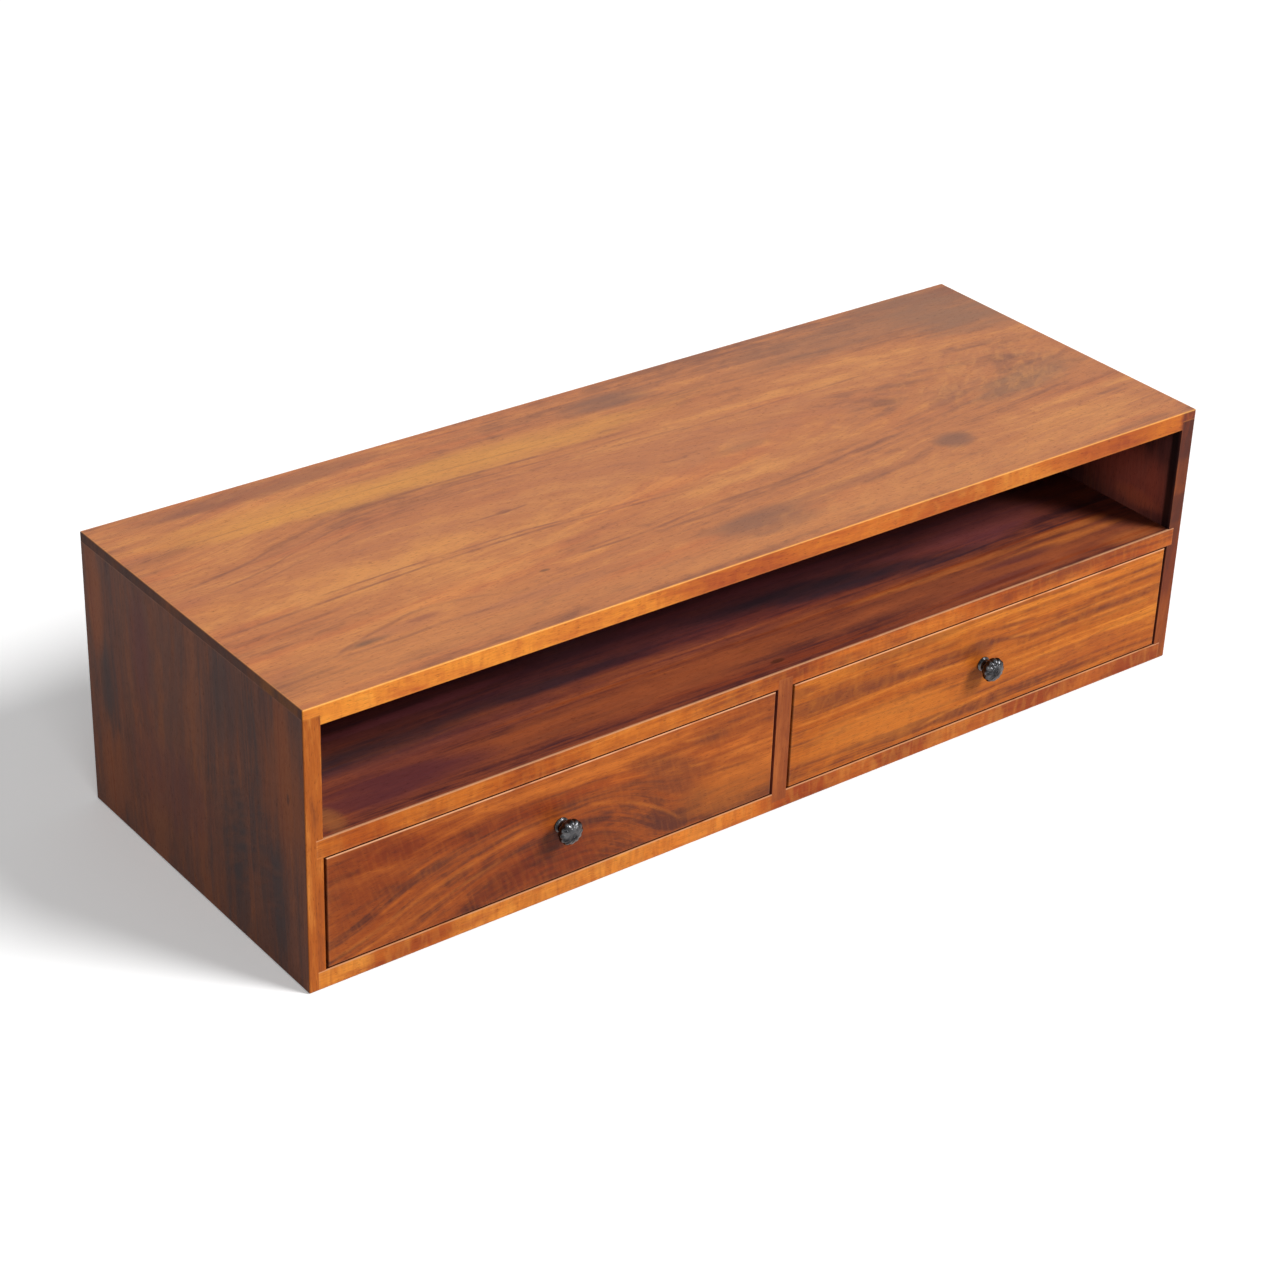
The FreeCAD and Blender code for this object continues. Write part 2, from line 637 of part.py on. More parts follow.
def make_drawer_side(label, center, hand):
    """A drawer side, with tails at both ends and the runner's groove in its outer face."""
    body = drawer_body(label, center)
    outer = signed(hand, f"-{DRAWER_HALF_WIDTH}")
    inner = signed(hand, f"-{BOX_INNER_HALF_WIDTH}")
    sketch = new_sketch(body, "plan", "XY_Plane", ("0", "0", "sizes.box_drop"))
    draw_rectangle(sketch, (outer, "sizes.front_lap"), (inner, BOX_LENGTH))
    pad(body, sketch, BOX_HEIGHT)
    joints = (
        ("front_pin_space", "sizes.front_thickness", "sizes.front_lap"),
        ("rear_pin_space", BOX_BACK_FRONT, BOX_LENGTH),
    )
    for name, root, end in joints:
        pins = new_sketch(body, name, "YZ_Plane", (outer, "0", "sizes.box_drop"))
        draw_outline(pins, pin_outline(root, end))
        space = pocket(body, pins, "sizes.box_side_thickness", along_normal=hand == LEFT)
        doc.recompute()
        repeat(body, space, "Z_Axis", BOX_HEIGHT, TAILS + 1)
    groove_floor = signed(hand, f"-({BOX_INNER_HALF_WIDTH} + sizes.bottom_groove_depth)")
    stop = f"({BOX_BACK_FRONT} + sizes.bottom_groove_depth)"
    low = (groove_floor, "(sizes.front_thickness - sizes.bottom_groove_depth)")
    cut_up(body, "bottom_groove", low, (inner, stop), BOTTOM_GROOVE_Z, BOTTOM_GROOVE_HEIGHT)
    runner_floor = signed(hand, f"(sizes.runner_groove_depth - {DRAWER_HALF_WIDTH})")
    low = (outer, "(sizes.runner_setback - sizes.running_clearance)")
    level = f"({RUNNER_Z} - sizes.runner_groove_height / 2)"
    high = (runner_floor, BOX_LENGTH)
    cut_up(body, "runner_groove", low, high, level, "sizes.runner_groove_height")


def make_drawer_back(label, center):
    """The back is cut right through for the tails of both sides."""
    body = drawer_body(label, center)
    sketch = new_sketch(body, "plan", "XY_Plane", ("0", "0", "sizes.box_drop"))
    draw_rectangle(sketch, (f"-{DRAWER_HALF_WIDTH}", BOX_BACK_FRONT), (DRAWER_HALF_WIDTH, BOX_LENGTH))
    pad(body, sketch, BOX_HEIGHT)
    groove = f"({BOX_INNER_HALF_WIDTH} + sizes.bottom_groove_depth)"
    high = (groove, f"({BOX_BACK_FRONT} + sizes.bottom_groove_depth)")
    low = (f"-{groove}", BOX_BACK_FRONT)
    cut_up(body, "bottom_groove", low, high, BOTTOM_GROOVE_Z, BOTTOM_GROOVE_HEIGHT)
    cut_sockets(body, BOX_BACK_FRONT, BOX_LENGTH)


def make_drawer_bottom(label, center):
    """A thin panel that floats in grooves on all four sides of the box."""
    body = drawer_body(label, center)
    tongue = "(sizes.bottom_groove_depth - sizes.drawer_bottom_play)"
    half_width = f"({BOX_INNER_HALF_WIDTH} + {tongue})"
    level = f"({BOTTOM_GROOVE_Z} + sizes.drawer_bottom_play)"
    sketch = new_sketch(body, "plan", "XY_Plane", ("0", "0", level))
    low = (f"-{half_width}", f"(sizes.front_thickness - {tongue})")
    draw_rectangle(sketch, low, (half_width, f"({BOX_BACK_FRONT} + {tongue})"))
    pad(body, sketch, "sizes.drawer_bottom_thickness")


# ---------------------------------------------------------------------------------------------
# Knobs
# ---------------------------------------------------------------------------------------------


def knob_profile():
    """The head's profile from its front flat to its seat: Y, and how far its facets lie from the axis."""
    before, behind = "-sizes.knob_front_depth", "sizes.knob_rear_depth"
    stations = (
        ("sizes.knob_front_flat_radius", before),
        (f"(sizes.knob_radius * {KNOB_CROWN_RATIO})", before),
        (f"(sizes.knob_radius * {KNOB_BROW_RATIO})", before),
        ("sizes.knob_radius", before),
        (f"(sizes.knob_radius * {KNOB_SWELL_RATIO})", behind),
        ("sizes.knob_stem_radius", behind),
    )
    middle_of_facet = math.cos(math.pi / KNOB_FACETS)
    points = []
    for radius, depth in stations:
        y = f"({KNOB_WIDEST_Y} + {depth} * sqrt(1 - ({radius} / sizes.knob_radius) ^ 2))"
        points.append((y, f"({radius} * {middle_of_facet:.6f})"))
    return points


def make_knob(label, center):
    """A metal knob: a round stem on a flange carries a rounded head that is cut into facets."""
    body = knob_body(label, center)
    profile = knob_profile()
    front, seat = profile[0][0], profile[-1][0]
    outside = "(sizes.knob_radius + sizes.knob_stem_radius)"
    blank = new_sketch(body, "blank", "XZ_Plane", ("0", seat, "0"))
    draw_rectangle(blank, (f"-{outside}", f"-{outside}"), (outside, outside))
    pad(body, blank, f"({seat} - {front})")
    sketch = new_sketch(body, "facet", "YZ_Plane")
    draw_outline(sketch, profile + [(seat, f"(2 * {outside})"), (front, f"(2 * {outside})")])
    facet = pocket(body, sketch, f"(4 * {outside})", along_normal=False)
    facet.Midplane = True
    doc.recompute()
    repeat_round(body, facet, "Y_Axis", KNOB_FACETS)
    stem = [
        ("0", "0"),
        ("sizes.knob_base_radius", "0"),
        ("sizes.knob_base_radius", "-sizes.knob_base_thickness"),
        ("sizes.knob_stem_radius", "-sizes.knob_base_thickness"),
        ("sizes.knob_stem_radius", seat),
        ("0", seat),
    ]
    turn(body, "Revolution", "stem", "XY_Plane", ("0", "0", "0"), "V_Axis", stem)
    bore = "(sizes.knob_screw_radius + sizes.knob_screw_clearance)"
    depth = "(sizes.knob_thread_depth + sizes.knob_screw_clearance)"
    cut_round(body, "bore", "0", "0", bore, f"-{depth}", depth)


def knob_body(label, center):
    """A body whose Y = 0 is the drawer's face and whose axis is the knob's."""
    return new_body(label, x=center, y=f"-{HALF_DEPTH}", z=f"({DRAWER_Z} + {FRONT_HEIGHT} / 2)")


def make_knob_screw(label, center):
    """The machine screw goes through the front from inside the drawer, into the knob."""
    body = knob_body(label, center)
    seat = "sizes.front_thickness"
    head = f"({seat} + sizes.knob_screw_head_height)"
    outline = [
        ("0", "-sizes.knob_thread_depth"),
        ("sizes.knob_screw_radius", "-sizes.knob_thread_depth"),
        ("sizes.knob_screw_radius", seat),
        ("sizes.knob_screw_head_radius", seat),
        ("sizes.knob_screw_head_radius", head),
        ("0", head),
    ]
    turn(body, "Revolution", "turned", "XY_Plane", ("0", "0", "0"), "V_Axis", outline)


# ---------------------------------------------------------------------------------------------
# Assembly and export
# ---------------------------------------------------------------------------------------------


def make_case():
    make_top()
    make_bottom()
    make_side("left_side_panel", LEFT)
    make_side("right_side_panel", RIGHT)
    make_shelf()
    make_divider()
    make_back_panel()
    make_rail("upper_hanging_rail", UPPER_RAIL_Z)
    make_rail("lower_hanging_rail", LOWER_RAIL_Z)


def make_running_gear():
    divider_face = "(sizes.divider_thickness / 2)"
    runners = (
        ("left_drawer_left_runner", f"-{INNER_HALF_WIDTH}", LEFT),
        ("left_drawer_right_runner", f"-{divider_face}", RIGHT),
        ("right_drawer_left_runner", divider_face, LEFT),
        ("right_drawer_right_runner", INNER_HALF_WIDTH, RIGHT),
    )
    for label, case_face, hand in runners:
        make_runner(label, case_face, hand)
        make_runner_screws(f"{label}_screws", case_face, hand)


def make_drawer(name, center):
    make_drawer_front(f"{name}_front", center)
    make_drawer_side(f"{name}_left_side", center, LEFT)
    make_drawer_side(f"{name}_right_side", center, RIGHT)
    make_drawer_back(f"{name}_back", center)
    make_drawer_bottom(f"{name}_bottom", center)
    make_knob(f"{name}_knob", center)
    make_knob_screw(f"{name}_knob_screw", center)


def check_document():
    """Stops if any object failed or any sub-part isn't the sound solids it should be."""
    for item in doc.Objects:
        if "Invalid" in item.State or "Error" in item.State:
            raise RuntimeError(f"{item.Label} failed: {item.State}")
    for body, solids in exports:
        shape = body.Shape
        if shape.isNull() or not shape.isValid():
            raise RuntimeError(f"{body.Label} has no sound shape")
        if len(shape.Solids) != solids:
            raise RuntimeError(f"{body.Label} has {len(shape.Solids)} solids, not {solids}")


def export_parts():
    """Writes each sub-part to a file named after its label."""
    os.makedirs("parts", exist_ok=True)
    for body, _ in exports:
        body.Shape.exportStep(f"parts/{body.Label}.step")


fill_sheet()
make_case()
make_running_gear()
make_drawer("left_drawer", f"-{OPENING_CENTER}")
make_drawer("right_drawer", OPENING_CENTER)
doc.recompute()
check_document()
export_parts()
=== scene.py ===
import math
from functools import cached_property

import bmesh
import bpy
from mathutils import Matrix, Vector


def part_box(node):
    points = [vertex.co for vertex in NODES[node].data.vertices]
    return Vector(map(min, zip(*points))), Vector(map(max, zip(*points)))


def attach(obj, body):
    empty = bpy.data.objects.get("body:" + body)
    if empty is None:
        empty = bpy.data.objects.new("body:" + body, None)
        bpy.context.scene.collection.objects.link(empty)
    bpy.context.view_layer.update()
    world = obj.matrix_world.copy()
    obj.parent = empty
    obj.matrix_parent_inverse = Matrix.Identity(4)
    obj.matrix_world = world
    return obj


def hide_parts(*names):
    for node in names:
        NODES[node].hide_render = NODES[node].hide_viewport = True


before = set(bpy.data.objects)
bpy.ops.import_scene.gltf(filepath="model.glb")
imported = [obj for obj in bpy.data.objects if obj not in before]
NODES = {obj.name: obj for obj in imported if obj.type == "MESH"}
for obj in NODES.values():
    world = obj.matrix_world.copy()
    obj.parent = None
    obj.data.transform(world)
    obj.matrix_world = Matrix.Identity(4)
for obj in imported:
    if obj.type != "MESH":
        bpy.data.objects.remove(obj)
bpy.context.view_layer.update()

# ---------------------------------------------------------------------------------------------
# Colours, as sRGB bytes
# ---------------------------------------------------------------------------------------------


def linear(red, green, blue):
    """A colour for Blender from its sRGB bytes."""
    channels = []
    for byte in (red, green, blue):
        share = byte / 255
        channels.append(share / 12.92 if share <= 0.04045 else ((share + 0.055) / 1.055) ** 2.4)
    return (*channels, 1.0)


WHITE = linear(255, 255, 255)

# The darkest, middle and lightest tone of each kind of wood.
HONEY = (linear(136, 76, 40), linear(188, 113, 57), linear(214, 141, 70))
AMBER_EDGE = (linear(200, 102, 32), linear(243, 151, 46), linear(255, 190, 84))
RUST = (linear(94, 44, 28), linear(162, 80, 30), linear(208, 116, 44))
ORANGE = (linear(120, 57, 27), linear(190, 100, 30), linear(230, 140, 48))
SHELF_EDGE = (linear(146, 72, 32), linear(209, 115, 37), linear(244, 156, 64))
BOTTOM_EDGE = (linear(182, 92, 40), linear(232, 144, 54), linear(250, 178, 82))
STILE = (linear(134, 68, 30), linear(184, 98, 34), linear(222, 138, 60))
COCOA = (linear(78, 50, 44), linear(116, 70, 52), linear(148, 88, 58))
MAROON = (linear(72, 44, 46), linear(106, 62, 60), linear(140, 80, 66))
SHELF = (linear(78, 42, 46), linear(138, 71, 50), linear(178, 96, 54))
DIVIDER = (linear(100, 46, 30), linear(148, 74, 34), linear(184, 102, 48))
END_GRAIN = (linear(60, 36, 32), linear(84, 52, 40), linear(108, 66, 48))
BACK = (linear(64, 36, 44), linear(128, 62, 62), linear(176, 90, 84))
BACK_OUTSIDE = (linear(84, 46, 36), linear(130, 72, 48), linear(162, 94, 58))
PALE = (linear(170, 128, 86), linear(204, 164, 116), linear(222, 188, 142))

# The colour of the lighter front arrises: partly wear, partly a painted highlight.
BRIGHT_RIM = linear(226, 168, 124)
KNOT_HEART = linear(76, 40, 28)

# Colours that the wood is multiplied by, and how strongly.
WARM_TINT, WARM_STRENGTH = linear(255, 190, 150), 0.3
LINE_TINT, LINE_STRENGTH = linear(196, 138, 112), 0.35
FIBRE_TINT, FIBRE_STRENGTH = linear(206, 170, 150), 0.3
PORE_TINT, PORE_STRENGTH = linear(120, 80, 62), 0.55
# Painted shade for the narrow gaps above and below the drawer fronts.
PAINTED_GAP_SHADE_TINT = linear(104, 84, 84)

# ---------------------------------------------------------------------------------------------
# Node trees written as arithmetic
# ---------------------------------------------------------------------------------------------


class Number:
    """A number or colour in a node tree. Arithmetic on it adds math nodes."""

    def __init__(self, graph, socket):
        self.graph = graph
        self.socket = socket

    def __add__(self, other):
        return self.graph.math("ADD", self, other)

    __radd__ = __add__

    def __sub__(self, other):
        return self.graph.math("SUBTRACT", self, other)

    def __rsub__(self, other):
        return self.graph.math("SUBTRACT", other, self)

    def __mul__(self, other):
        return self.graph.math("MULTIPLY", self, other)

    def __truediv__(self, other):
        return self.graph.math("DIVIDE", self, other)

    def __abs__(self):
        return self.graph.math("ABSOLUTE", self)


class Graph:
    """The node tree of a material or a world, whose nodes are made by method calls."""

    def __init__(self, owner):
        owner.use_nodes = True
        self.tree = owner.node_tree
        self.tree.nodes.clear()

    def node(self, kind, inputs=None, **properties):
        made = self.tree.nodes.new(kind)
        for key, setting in properties.items():
            setattr(made, key, setting)
        for key, item in (inputs or {}).items():
            self.feed(made.inputs[key], item)
        return made

    def feed(self, socket, item):
        if isinstance(item, Number):
            self.tree.links.new(item.socket, socket)
        else:
            socket.default_value = item

    def math(self, operation, *terms):
        made = self.node("ShaderNodeMath", dict(enumerate(terms)), operation=operation)
        return Number(self, made.outputs[0])

    def least(self, a, b):
        return self.math("MINIMUM", a, b)

    def most(self, a, b):
        return self.math("MAXIMUM", a, b)

    def split(self, kind, output):
        """X, Y and Z of the vector that a new node gives."""
        vector = Number(self, self.node(kind).outputs[output])
        made = self.node("ShaderNodeSeparateXYZ", {0: vector})
        return [Number(self, out) for out in made.outputs]

    def point(self, x, y, z):
        return Number(self, self.node("ShaderNodeCombineXYZ", {0: x, 1: y, 2: z}).outputs[0])

    def noise(self, vector, detail, roughness=0.5, distortion=0.0):
        inputs = {
            "Vector": vector, "Scale": 1.0, "Detail": detail,
            "Roughness": roughness, "Distortion": distortion,
        }
        return Number(self, self.node("ShaderNodeTexNoise", inputs).outputs[0])

    def step(self, number, low, high, start=0.0, end=1.0):
        """Goes smoothly from start to end as the number goes from low to high."""
        inputs = {0: number, 1: low, 2: high, 3: start, 4: end}
        made = self.node("ShaderNodeMapRange", inputs, interpolation_type="SMOOTHSTEP")
        return Number(self, made.outputs[0])

    def mix(self, share, a, b, mode="MIX"):
        """Colour a towards colour b by the share."""
        inputs = {0: share, 6: a, 7: b}
        made = self.node("ShaderNodeMix", data_type="RGBA", blend_type=mode)
        for key, item in inputs.items():
            self.feed(made.inputs[key], item)
        return Number(self, made.outputs[2])

    def bump(self, height, distance, strength):
        inputs = {"Height": height, "Distance": distance, "Strength": strength}
        return Number(self, self.node("ShaderNodeBump", inputs).outputs[0])

    def shown_share(self):
        """1 for what the camera, a reflection or glass shows, and 0 for light that bounces."""
        path = self.node("ShaderNodeLightPath")
        kinds = ("Camera", "Glossy", "Transmission")
        camera, glossy, through = (Number(self, path.outputs[f"Is {kind} Ray"]) for kind in kinds)
        return self.most(self.most(camera, glossy), through)


class Shader(Graph):
    """A material with one Principled surface."""

    def __init__(self, name):
        self.material = bpy.data.materials.new(name)
        super().__init__(self.material)
        output = self.node("ShaderNodeOutputMaterial")
        self.surface = self.node("ShaderNodeBsdfPrincipled")
        self.tree.links.new(self.surface.outputs["BSDF"], output.inputs["Surface"])

    def place(self):
        """X, Y and Z of the point in the row frame, in metres."""
        return self.split("ShaderNodeTexCoord", "Object")

    def finish(self, **sockets):
        for name, item in sockets.items():
            self.feed(self.surface.inputs[name.replace("_", " ")], item)
        return self.material


# ---------------------------------------------------------------------------------------------
# Wood
# ---------------------------------------------------------------------------------------------

AXES = {"X": 0, "Y": 1, "Z": 2}
FRONT = -0.20  # the case's front in Y
IOR = 1.48
BUMP_DISTANCE, BUMP_STRENGTH = 0.00012, 0.6

# Each pair holds the value at which a mask is 0 and the one at which it is 1.
FACING = (0.3, 0.8)  # the normal's part along the axis
# The lighter band along the arrises, partly wear and partly a painted highlight:
ARRIS_WEAR_AND_HIGHLIGHT = (0.0024, 0.0006)  # metres from an arris
TOP_WEAR_AND_HIGHLIGHT = (0.0016, 0.0006)  # metres from the top of an upright face
# The band of painted shade on a top face inside a narrow gap, from its near to its far edge:
PAINTED_GAP_SHADE_NEAR = (0.0005, 0.0011)  # metres behind the front
PAINTED_GAP_SHADE_FAR = (0.0040, 0.0026)  # metres behind the front
KNOT_CORE = (0.75, 0.1)  # squared distance over the knot's squared radius
SMUDGE_FADE = (1.5, -0.2)  # squared distance, 1 at the patch's nominal edge
RIBBON_FADE = (1.3, 0.0)  # the same for a ribbon's place
VEIN_START, VEIN_END = (0.0, 0.08), (1.0, 0.88)  # shares of the vein's length

# The same for levels of a noise, which is mostly between 0.3 and 0.7.
WARM_LEVELS, FIBRE_LEVELS, PORE_LEVELS = (0.52, 0.72), (0.3, 0.72), (0.62, 0.7)
LINE_LEVELS, STREAK_LEVELS = (0.56, 0.7), (0.42, 0.6)
NICK_LEVELS, GAP_LEVELS, RIBBON_LEVELS = (0.30, 0.46), (0.35, 0.6), (0.40, 0.70)
# Along an arris, that wear includes a painted highlight.
LEAST = 0.35  # what a nick leaves of the wear, and a gap of a vein

DRIFT_WAVES = 11  # changes of the grain's drift per metre across the board
KNOT_LENGTH = 2.6  # a knot's length along the grain over its width
KNOT_REACH = 3.0  # how far it bends the grain round it
OUTLINE_DRIFT = 1.6  # how much the drift bends the outline of a knot or ribbon
VEIN_DRIFT = 0.007  # how far the drift moves a vein, in metres
SMUDGE_TEAR = 2.4  # how deeply a smudge's edge is torn

# How much each noise changes the tone, and the tones at which one colour turns into the next.
BROAD_SHARE, STREAK_SHARE, LINES_SHARE, HAIR_SHARE = 0.55, 0.46, 0.22, 0.26
DARK_TO_MIDDLE, MIDDLE_TO_LIGHT = (-0.17, 0.01), (-0.01, 0.17)


class Wood:
    """One board's wood. u runs along the grain, v across the board's main face, w through it.

    The rings run round a pith beside the board, so a face shows arches, and an end shows arcs.
    All the smudges share one noise for their torn edges, and all the veins one for their gaps,
    because Cycles can hold few numbers at a time.
    """

    def __init__(
        self, name, node, grain, across, tones, seed, pith, lean=(0.0, 0.0), sway=0.014, waves=3.1,
    ):
        """pith: its v and w at u = 0, lean: how far they move per metre along the grain.

        sway: how far the grain drifts, waves: how often it does so per metre along the board.
        """
        self.shader = s = Shader(name)
        self.place = s.place()
        through = (set(AXES) - {grain, across}).pop()
        self.u, self.v, self.w = (self.place[AXES[axis]] for axis in (grain, across, through))
        self.low, self.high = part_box(node)
        self.tones = list(tones)
        self.dull = 0.0
        self.seed = seed
        self.stains = []
        self.veils = []
        where = s.point(self.u * waves + seed, self.v * DRIFT_WAVES, self.w * DRIFT_WAVES)
        self.drift = s.noise(where, detail=2.0) - 0.5
        beside = self.v - (self.u * lean[0] + pith[0])
        under = self.w - (self.u * lean[1] + pith[1])
        radius = s.math("SQRT", beside * beside + under * under)
        self.ring = radius + self.drift * sway

    @cached_property
    def normal(self):
        return self.shader.split("ShaderNodeNewGeometry", "True Normal")

    @cached_property
    def torn(self):
        """The noise that tears the edges of the smudges."""
        s = self.shader
        where = s.point(self.u * 8 + self.seed, self.v * 50, self.w * 20)
        return s.noise(where, detail=4.0, roughness=0.6) - 0.5

    @cached_property
    def broken(self):
        """1 where the veins are whole, and less where they fade."""
        s = self.shader
        where = s.point(self.u * 26 + self.seed, self.v * 12, self.w * 5)
        return s.step(s.noise(where, detail=3.0), *GAP_LEVELS, start=LEAST)

    def facing(self, axis, side):
        """1 where the surface faces along the axis, towards side."""
        return self.shader.step(self.normal[AXES[axis]] * side, *FACING)

    def ramp(self, start, end):
        """Goes from 0 to 1 as u goes from start to end."""
        return self.shader.step(self.u, start, end)

    def spread(self, u, v, length, width, slope=0.0):
        """The squared distance from a place, 1 at the edge of an ellipse of that size."""
        along, aside = self.u - u, self.v - v
        if slope:
            aside = aside - along * slope
        du, dv = along / (length / 2), aside / (width / 2)
        return du * du + dv * dv

    def face(self, axis, side, tones, dull=0.0):
        """Other tones on the faces that look along the axis, and how much duller they are."""
        share = self.facing(axis, side)
        self.tones = [self.shader.mix(share, old, new) for old, new in zip(self.tones, tones)]
        self.dull = self.dull + share * dull

    def swing(self, start, end, rise, still, full):
        """The grain moves across the board by rise between two places along it.

        It keeps still where v is at still, and moves the full way where v is at full.
        """
        share = self.ramp(start, end) * self.shader.step(self.v, still, full)
        self.ring = self.ring + share * rise

    def knot(self, u, v, radius, pull=0.6, heart=0.75):
        """Grain that swings round a knot, with a dark heart."""
        s = self.shader
        along, across = (self.u - u) / KNOT_LENGTH, self.v - v
        apart = along * along + across * across
        near = s.math("EXPONENT", apart / (-radius * radius * KNOT_REACH))
        self.ring = self.ring + near * radius * pull
        core = s.step(apart / (radius * radius) + self.drift * OUTLINE_DRIFT, *KNOT_CORE)
        self.stains.append((core, KNOT_HEART, heart, "MIX"))

    def smudge(
        self, u, v, length, width, colour, strength, slope=0.0, ragged=1.0, on=None, mode="MIX",
    ):
        """A soft-edged patch of another colour, with its edge torn along the grain.

        In the mode MULTIPLY it's a tint, through which the grain shows as before.
        """
        apart = self.spread(u, v, length, width, slope) + self.torn * (SMUDGE_TEAR * ragged)
        share = self.shader.step(apart, *SMUDGE_FADE)
        if on is not None:
            share = share * on
        self.stains.append((share, colour, strength, mode))

    def smudges(self, rows, on=None, mode="MIX"):
        """Several of them. Each row has u, v, length, width, colour, strength, slope, ragged."""
        for row in rows:
            self.smudge(*row, on=on, mode=mode)

    def tint(self, share, colour):
        """Multiplies the wood's colour where share is 1."""
        self.stains.append((share, colour, 1.0, "MULTIPLY"))

    def vein(self, points, width, colour, strength):
        """A thin line that follows the grain through points given as (u, v). width is in mm."""
        s = self.shader
        start, end = points[0][0], points[-1][0]
        heights = [v for _, v in points]
        base, span = min(heights), max(max(heights) - min(heights), 0.001)
        shares = [((u - start) / (end - start), (v - base) / span) for u, v in points]
        along = (self.u - start) / (end - start)
        curve = s.node("ShaderNodeFloatCurve", {"Factor": 1.0, "Value": along})
        line = curve.mapping.curves[0]
        line.points[0].location, line.points[1].location = shares[0], shares[-1]
        for share in shares[1:-1]:
            line.points.new(*share)
        curve.mapping.update()
        middle = Number(s, curve.outputs[0]) * span + base
        aside = abs(self.v - middle + self.drift * VEIN_DRIFT)
        share = s.step(aside, width / 1000, 0.0)
        share = share * s.step(along, *VEIN_START) * s.step(along, *VEIN_END)
        self.stains.append((share * self.broken, colour, strength, "MIX"))

    def ribbon(self, pitch, slope, strength, at=None, colour=None, reach=0.03, on=None):
        """Short bands of light that cross the grain, as interlocked grain shows them.

        at: the only place that has them, as (u, v, length, width).
        """
        s = self.shader
        across = (self.u + self.v * slope) / pitch
        vector = s.point(across + self.seed, self.v / reach + self.seed, self.w / reach)
        share = s.step(s.noise(vector, detail=3.0, distortion=0.5), *RIBBON_LEVELS)
        if at is not None:
            share = share * s.step(self.spread(*at) + self.drift * OUTLINE_DRIFT, *RIBBON_FADE)
        if on is not None:
            share = share * on
        self.veils.append((share, colour, strength))

    def arrises(self):
        """1 on the board's arrises and 0 a few millimetres away from them."""
        s = self.shader
        middle, half = (self.low + self.high) / 2, (self.high - self.low) / 2
        depths = [half[i] - abs(self.place[i] - middle[i]) for i in range(3)]
        nearest = s.least(s.least(depths[0], depths[1]), depths[2])
        farthest = s.most(s.most(depths[0], depths[1]), depths[2])
        second = depths[0] + depths[1] + depths[2] - nearest - farthest
        return s.step(second, *ARRIS_WEAR_AND_HIGHLIGHT)

    def wear_and_highlight_share(self):
        """1 where the arrises are lightest, from wear and a painted highlight: on upward faces and
        at the top of the others.
        """
        top = self.high.z
        start, full = TOP_WEAR_AND_HIGHLIGHT
        near_top = self.shader.step(self.place[2], top - start, top - full)
        return self.shader.most(self.facing("Z", 1), near_top)

    def painted_gap_shade(self):
        """1 on the upward face behind its front arris, where a narrow gap keeps it in the dark: a
        band of painted shade.
        """
        s = self.shader
        behind = self.place[1] - self.low.y
        return self.facing("Z", 1) * s.step(behind, *PAINTED_GAP_SHADE_NEAR) * s.step(behind, *PAINTED_GAP_SHADE_FAR)

    def material(
        self, wear_and_highlight=0.35, figure=1.0, mottled=0.14, roughness=0.46, gloss=0.5, rim=None, run=1.0,
        gap_shade_painted=False,
    ):
        """The finished material.

        wear_and_highlight: how light the arrises are, from wear and a painted highlight. rim: their
        colour, or
        None for the lightest tone.
        figure: strength of the streaks, run: their number along the grain, mottled: strength of
        the small patches. gloss: specular level. cracked: the top face lies in a narrow gap, and
        gets painted shade there.
        """
        s, seed = self.shader, self.seed
        u, v, w, ring = self.u, self.v, self.w, self.ring
        # Each noise has its own number of waves per metre along the grain, across the rings,
        # and across or through the board.
        broad = s.noise(
            s.point(u * (1.6 * run) + seed, ring * 13 + seed, v * 8), detail=3.0, distortion=0.5,
        )
        streak = s.noise(
            s.point(u * (3.4 * run) - seed, ring * 75, v * (14 * run)), detail=4.0, roughness=0.62,
        )
        lines = s.noise(
            s.point(u * (1.1 * run) + seed, ring * 210, v * 5), detail=3.0, roughness=0.6,
        )
        hair = s.noise(s.point(u * 8 + seed, ring * 400, v * 40), detail=4.0, roughness=0.7)
        fibre = s.noise(s.point(u * 60, v * 1300 + seed, w * 1300), detail=2.0)
        pores = s.noise(s.point(u * 130 + seed, v * 1500, w * 1500), detail=1.0)
        mottle = s.noise(s.point(u * 26, v * 70 + seed, w * 60), detail=4.0, distortion=0.8)
        warmth = s.noise(s.point(u * 2.4 + seed * 3, ring * 34, v * 16), detail=3.0)
        nicks = s.noise(s.point(u * 26, v * 90, w * 90), detail=2.0)

        tone = (broad - 0.5) * BROAD_SHARE + (streak - 0.5) * (STREAK_SHARE * figure)
        tone = tone + (mottle - 0.5) * mottled + (lines - 0.5) * (LINES_SHARE * figure)
        tone = tone + (hair - 0.5) * (HAIR_SHARE * figure)
        dark, middle, light = self.tones
        colour = s.mix(s.step(tone, *DARK_TO_MIDDLE), dark, middle)
        colour = s.mix(s.step(tone, *MIDDLE_TO_LIGHT), colour, light)
        warm = s.step(warmth, *WARM_LEVELS)
        colour = s.mix(warm * WARM_STRENGTH, colour, WARM_TINT, "MULTIPLY")
        for share, stain, strength, mode in self.stains:
            colour = s.mix(share * strength, colour, stain, mode)
        for share, stain, strength in self.veils:
            colour = s.mix(share * strength, colour, light if stain is None else stain)

        thin = s.step(lines, *LINE_LEVELS) * s.step(streak, *STREAK_LEVELS)
        fine = s.step(fibre, *FIBRE_LEVELS)
        dashes = s.step(pores, *PORE_LEVELS)
        colour = s.mix(thin * (LINE_STRENGTH * figure), colour, LINE_TINT, "MULTIPLY")
        colour = s.mix(fine * FIBRE_STRENGTH, colour, FIBRE_TINT, "MULTIPLY")
        colour = s.mix(dashes * PORE_STRENGTH, colour, PORE_TINT, "MULTIPLY")

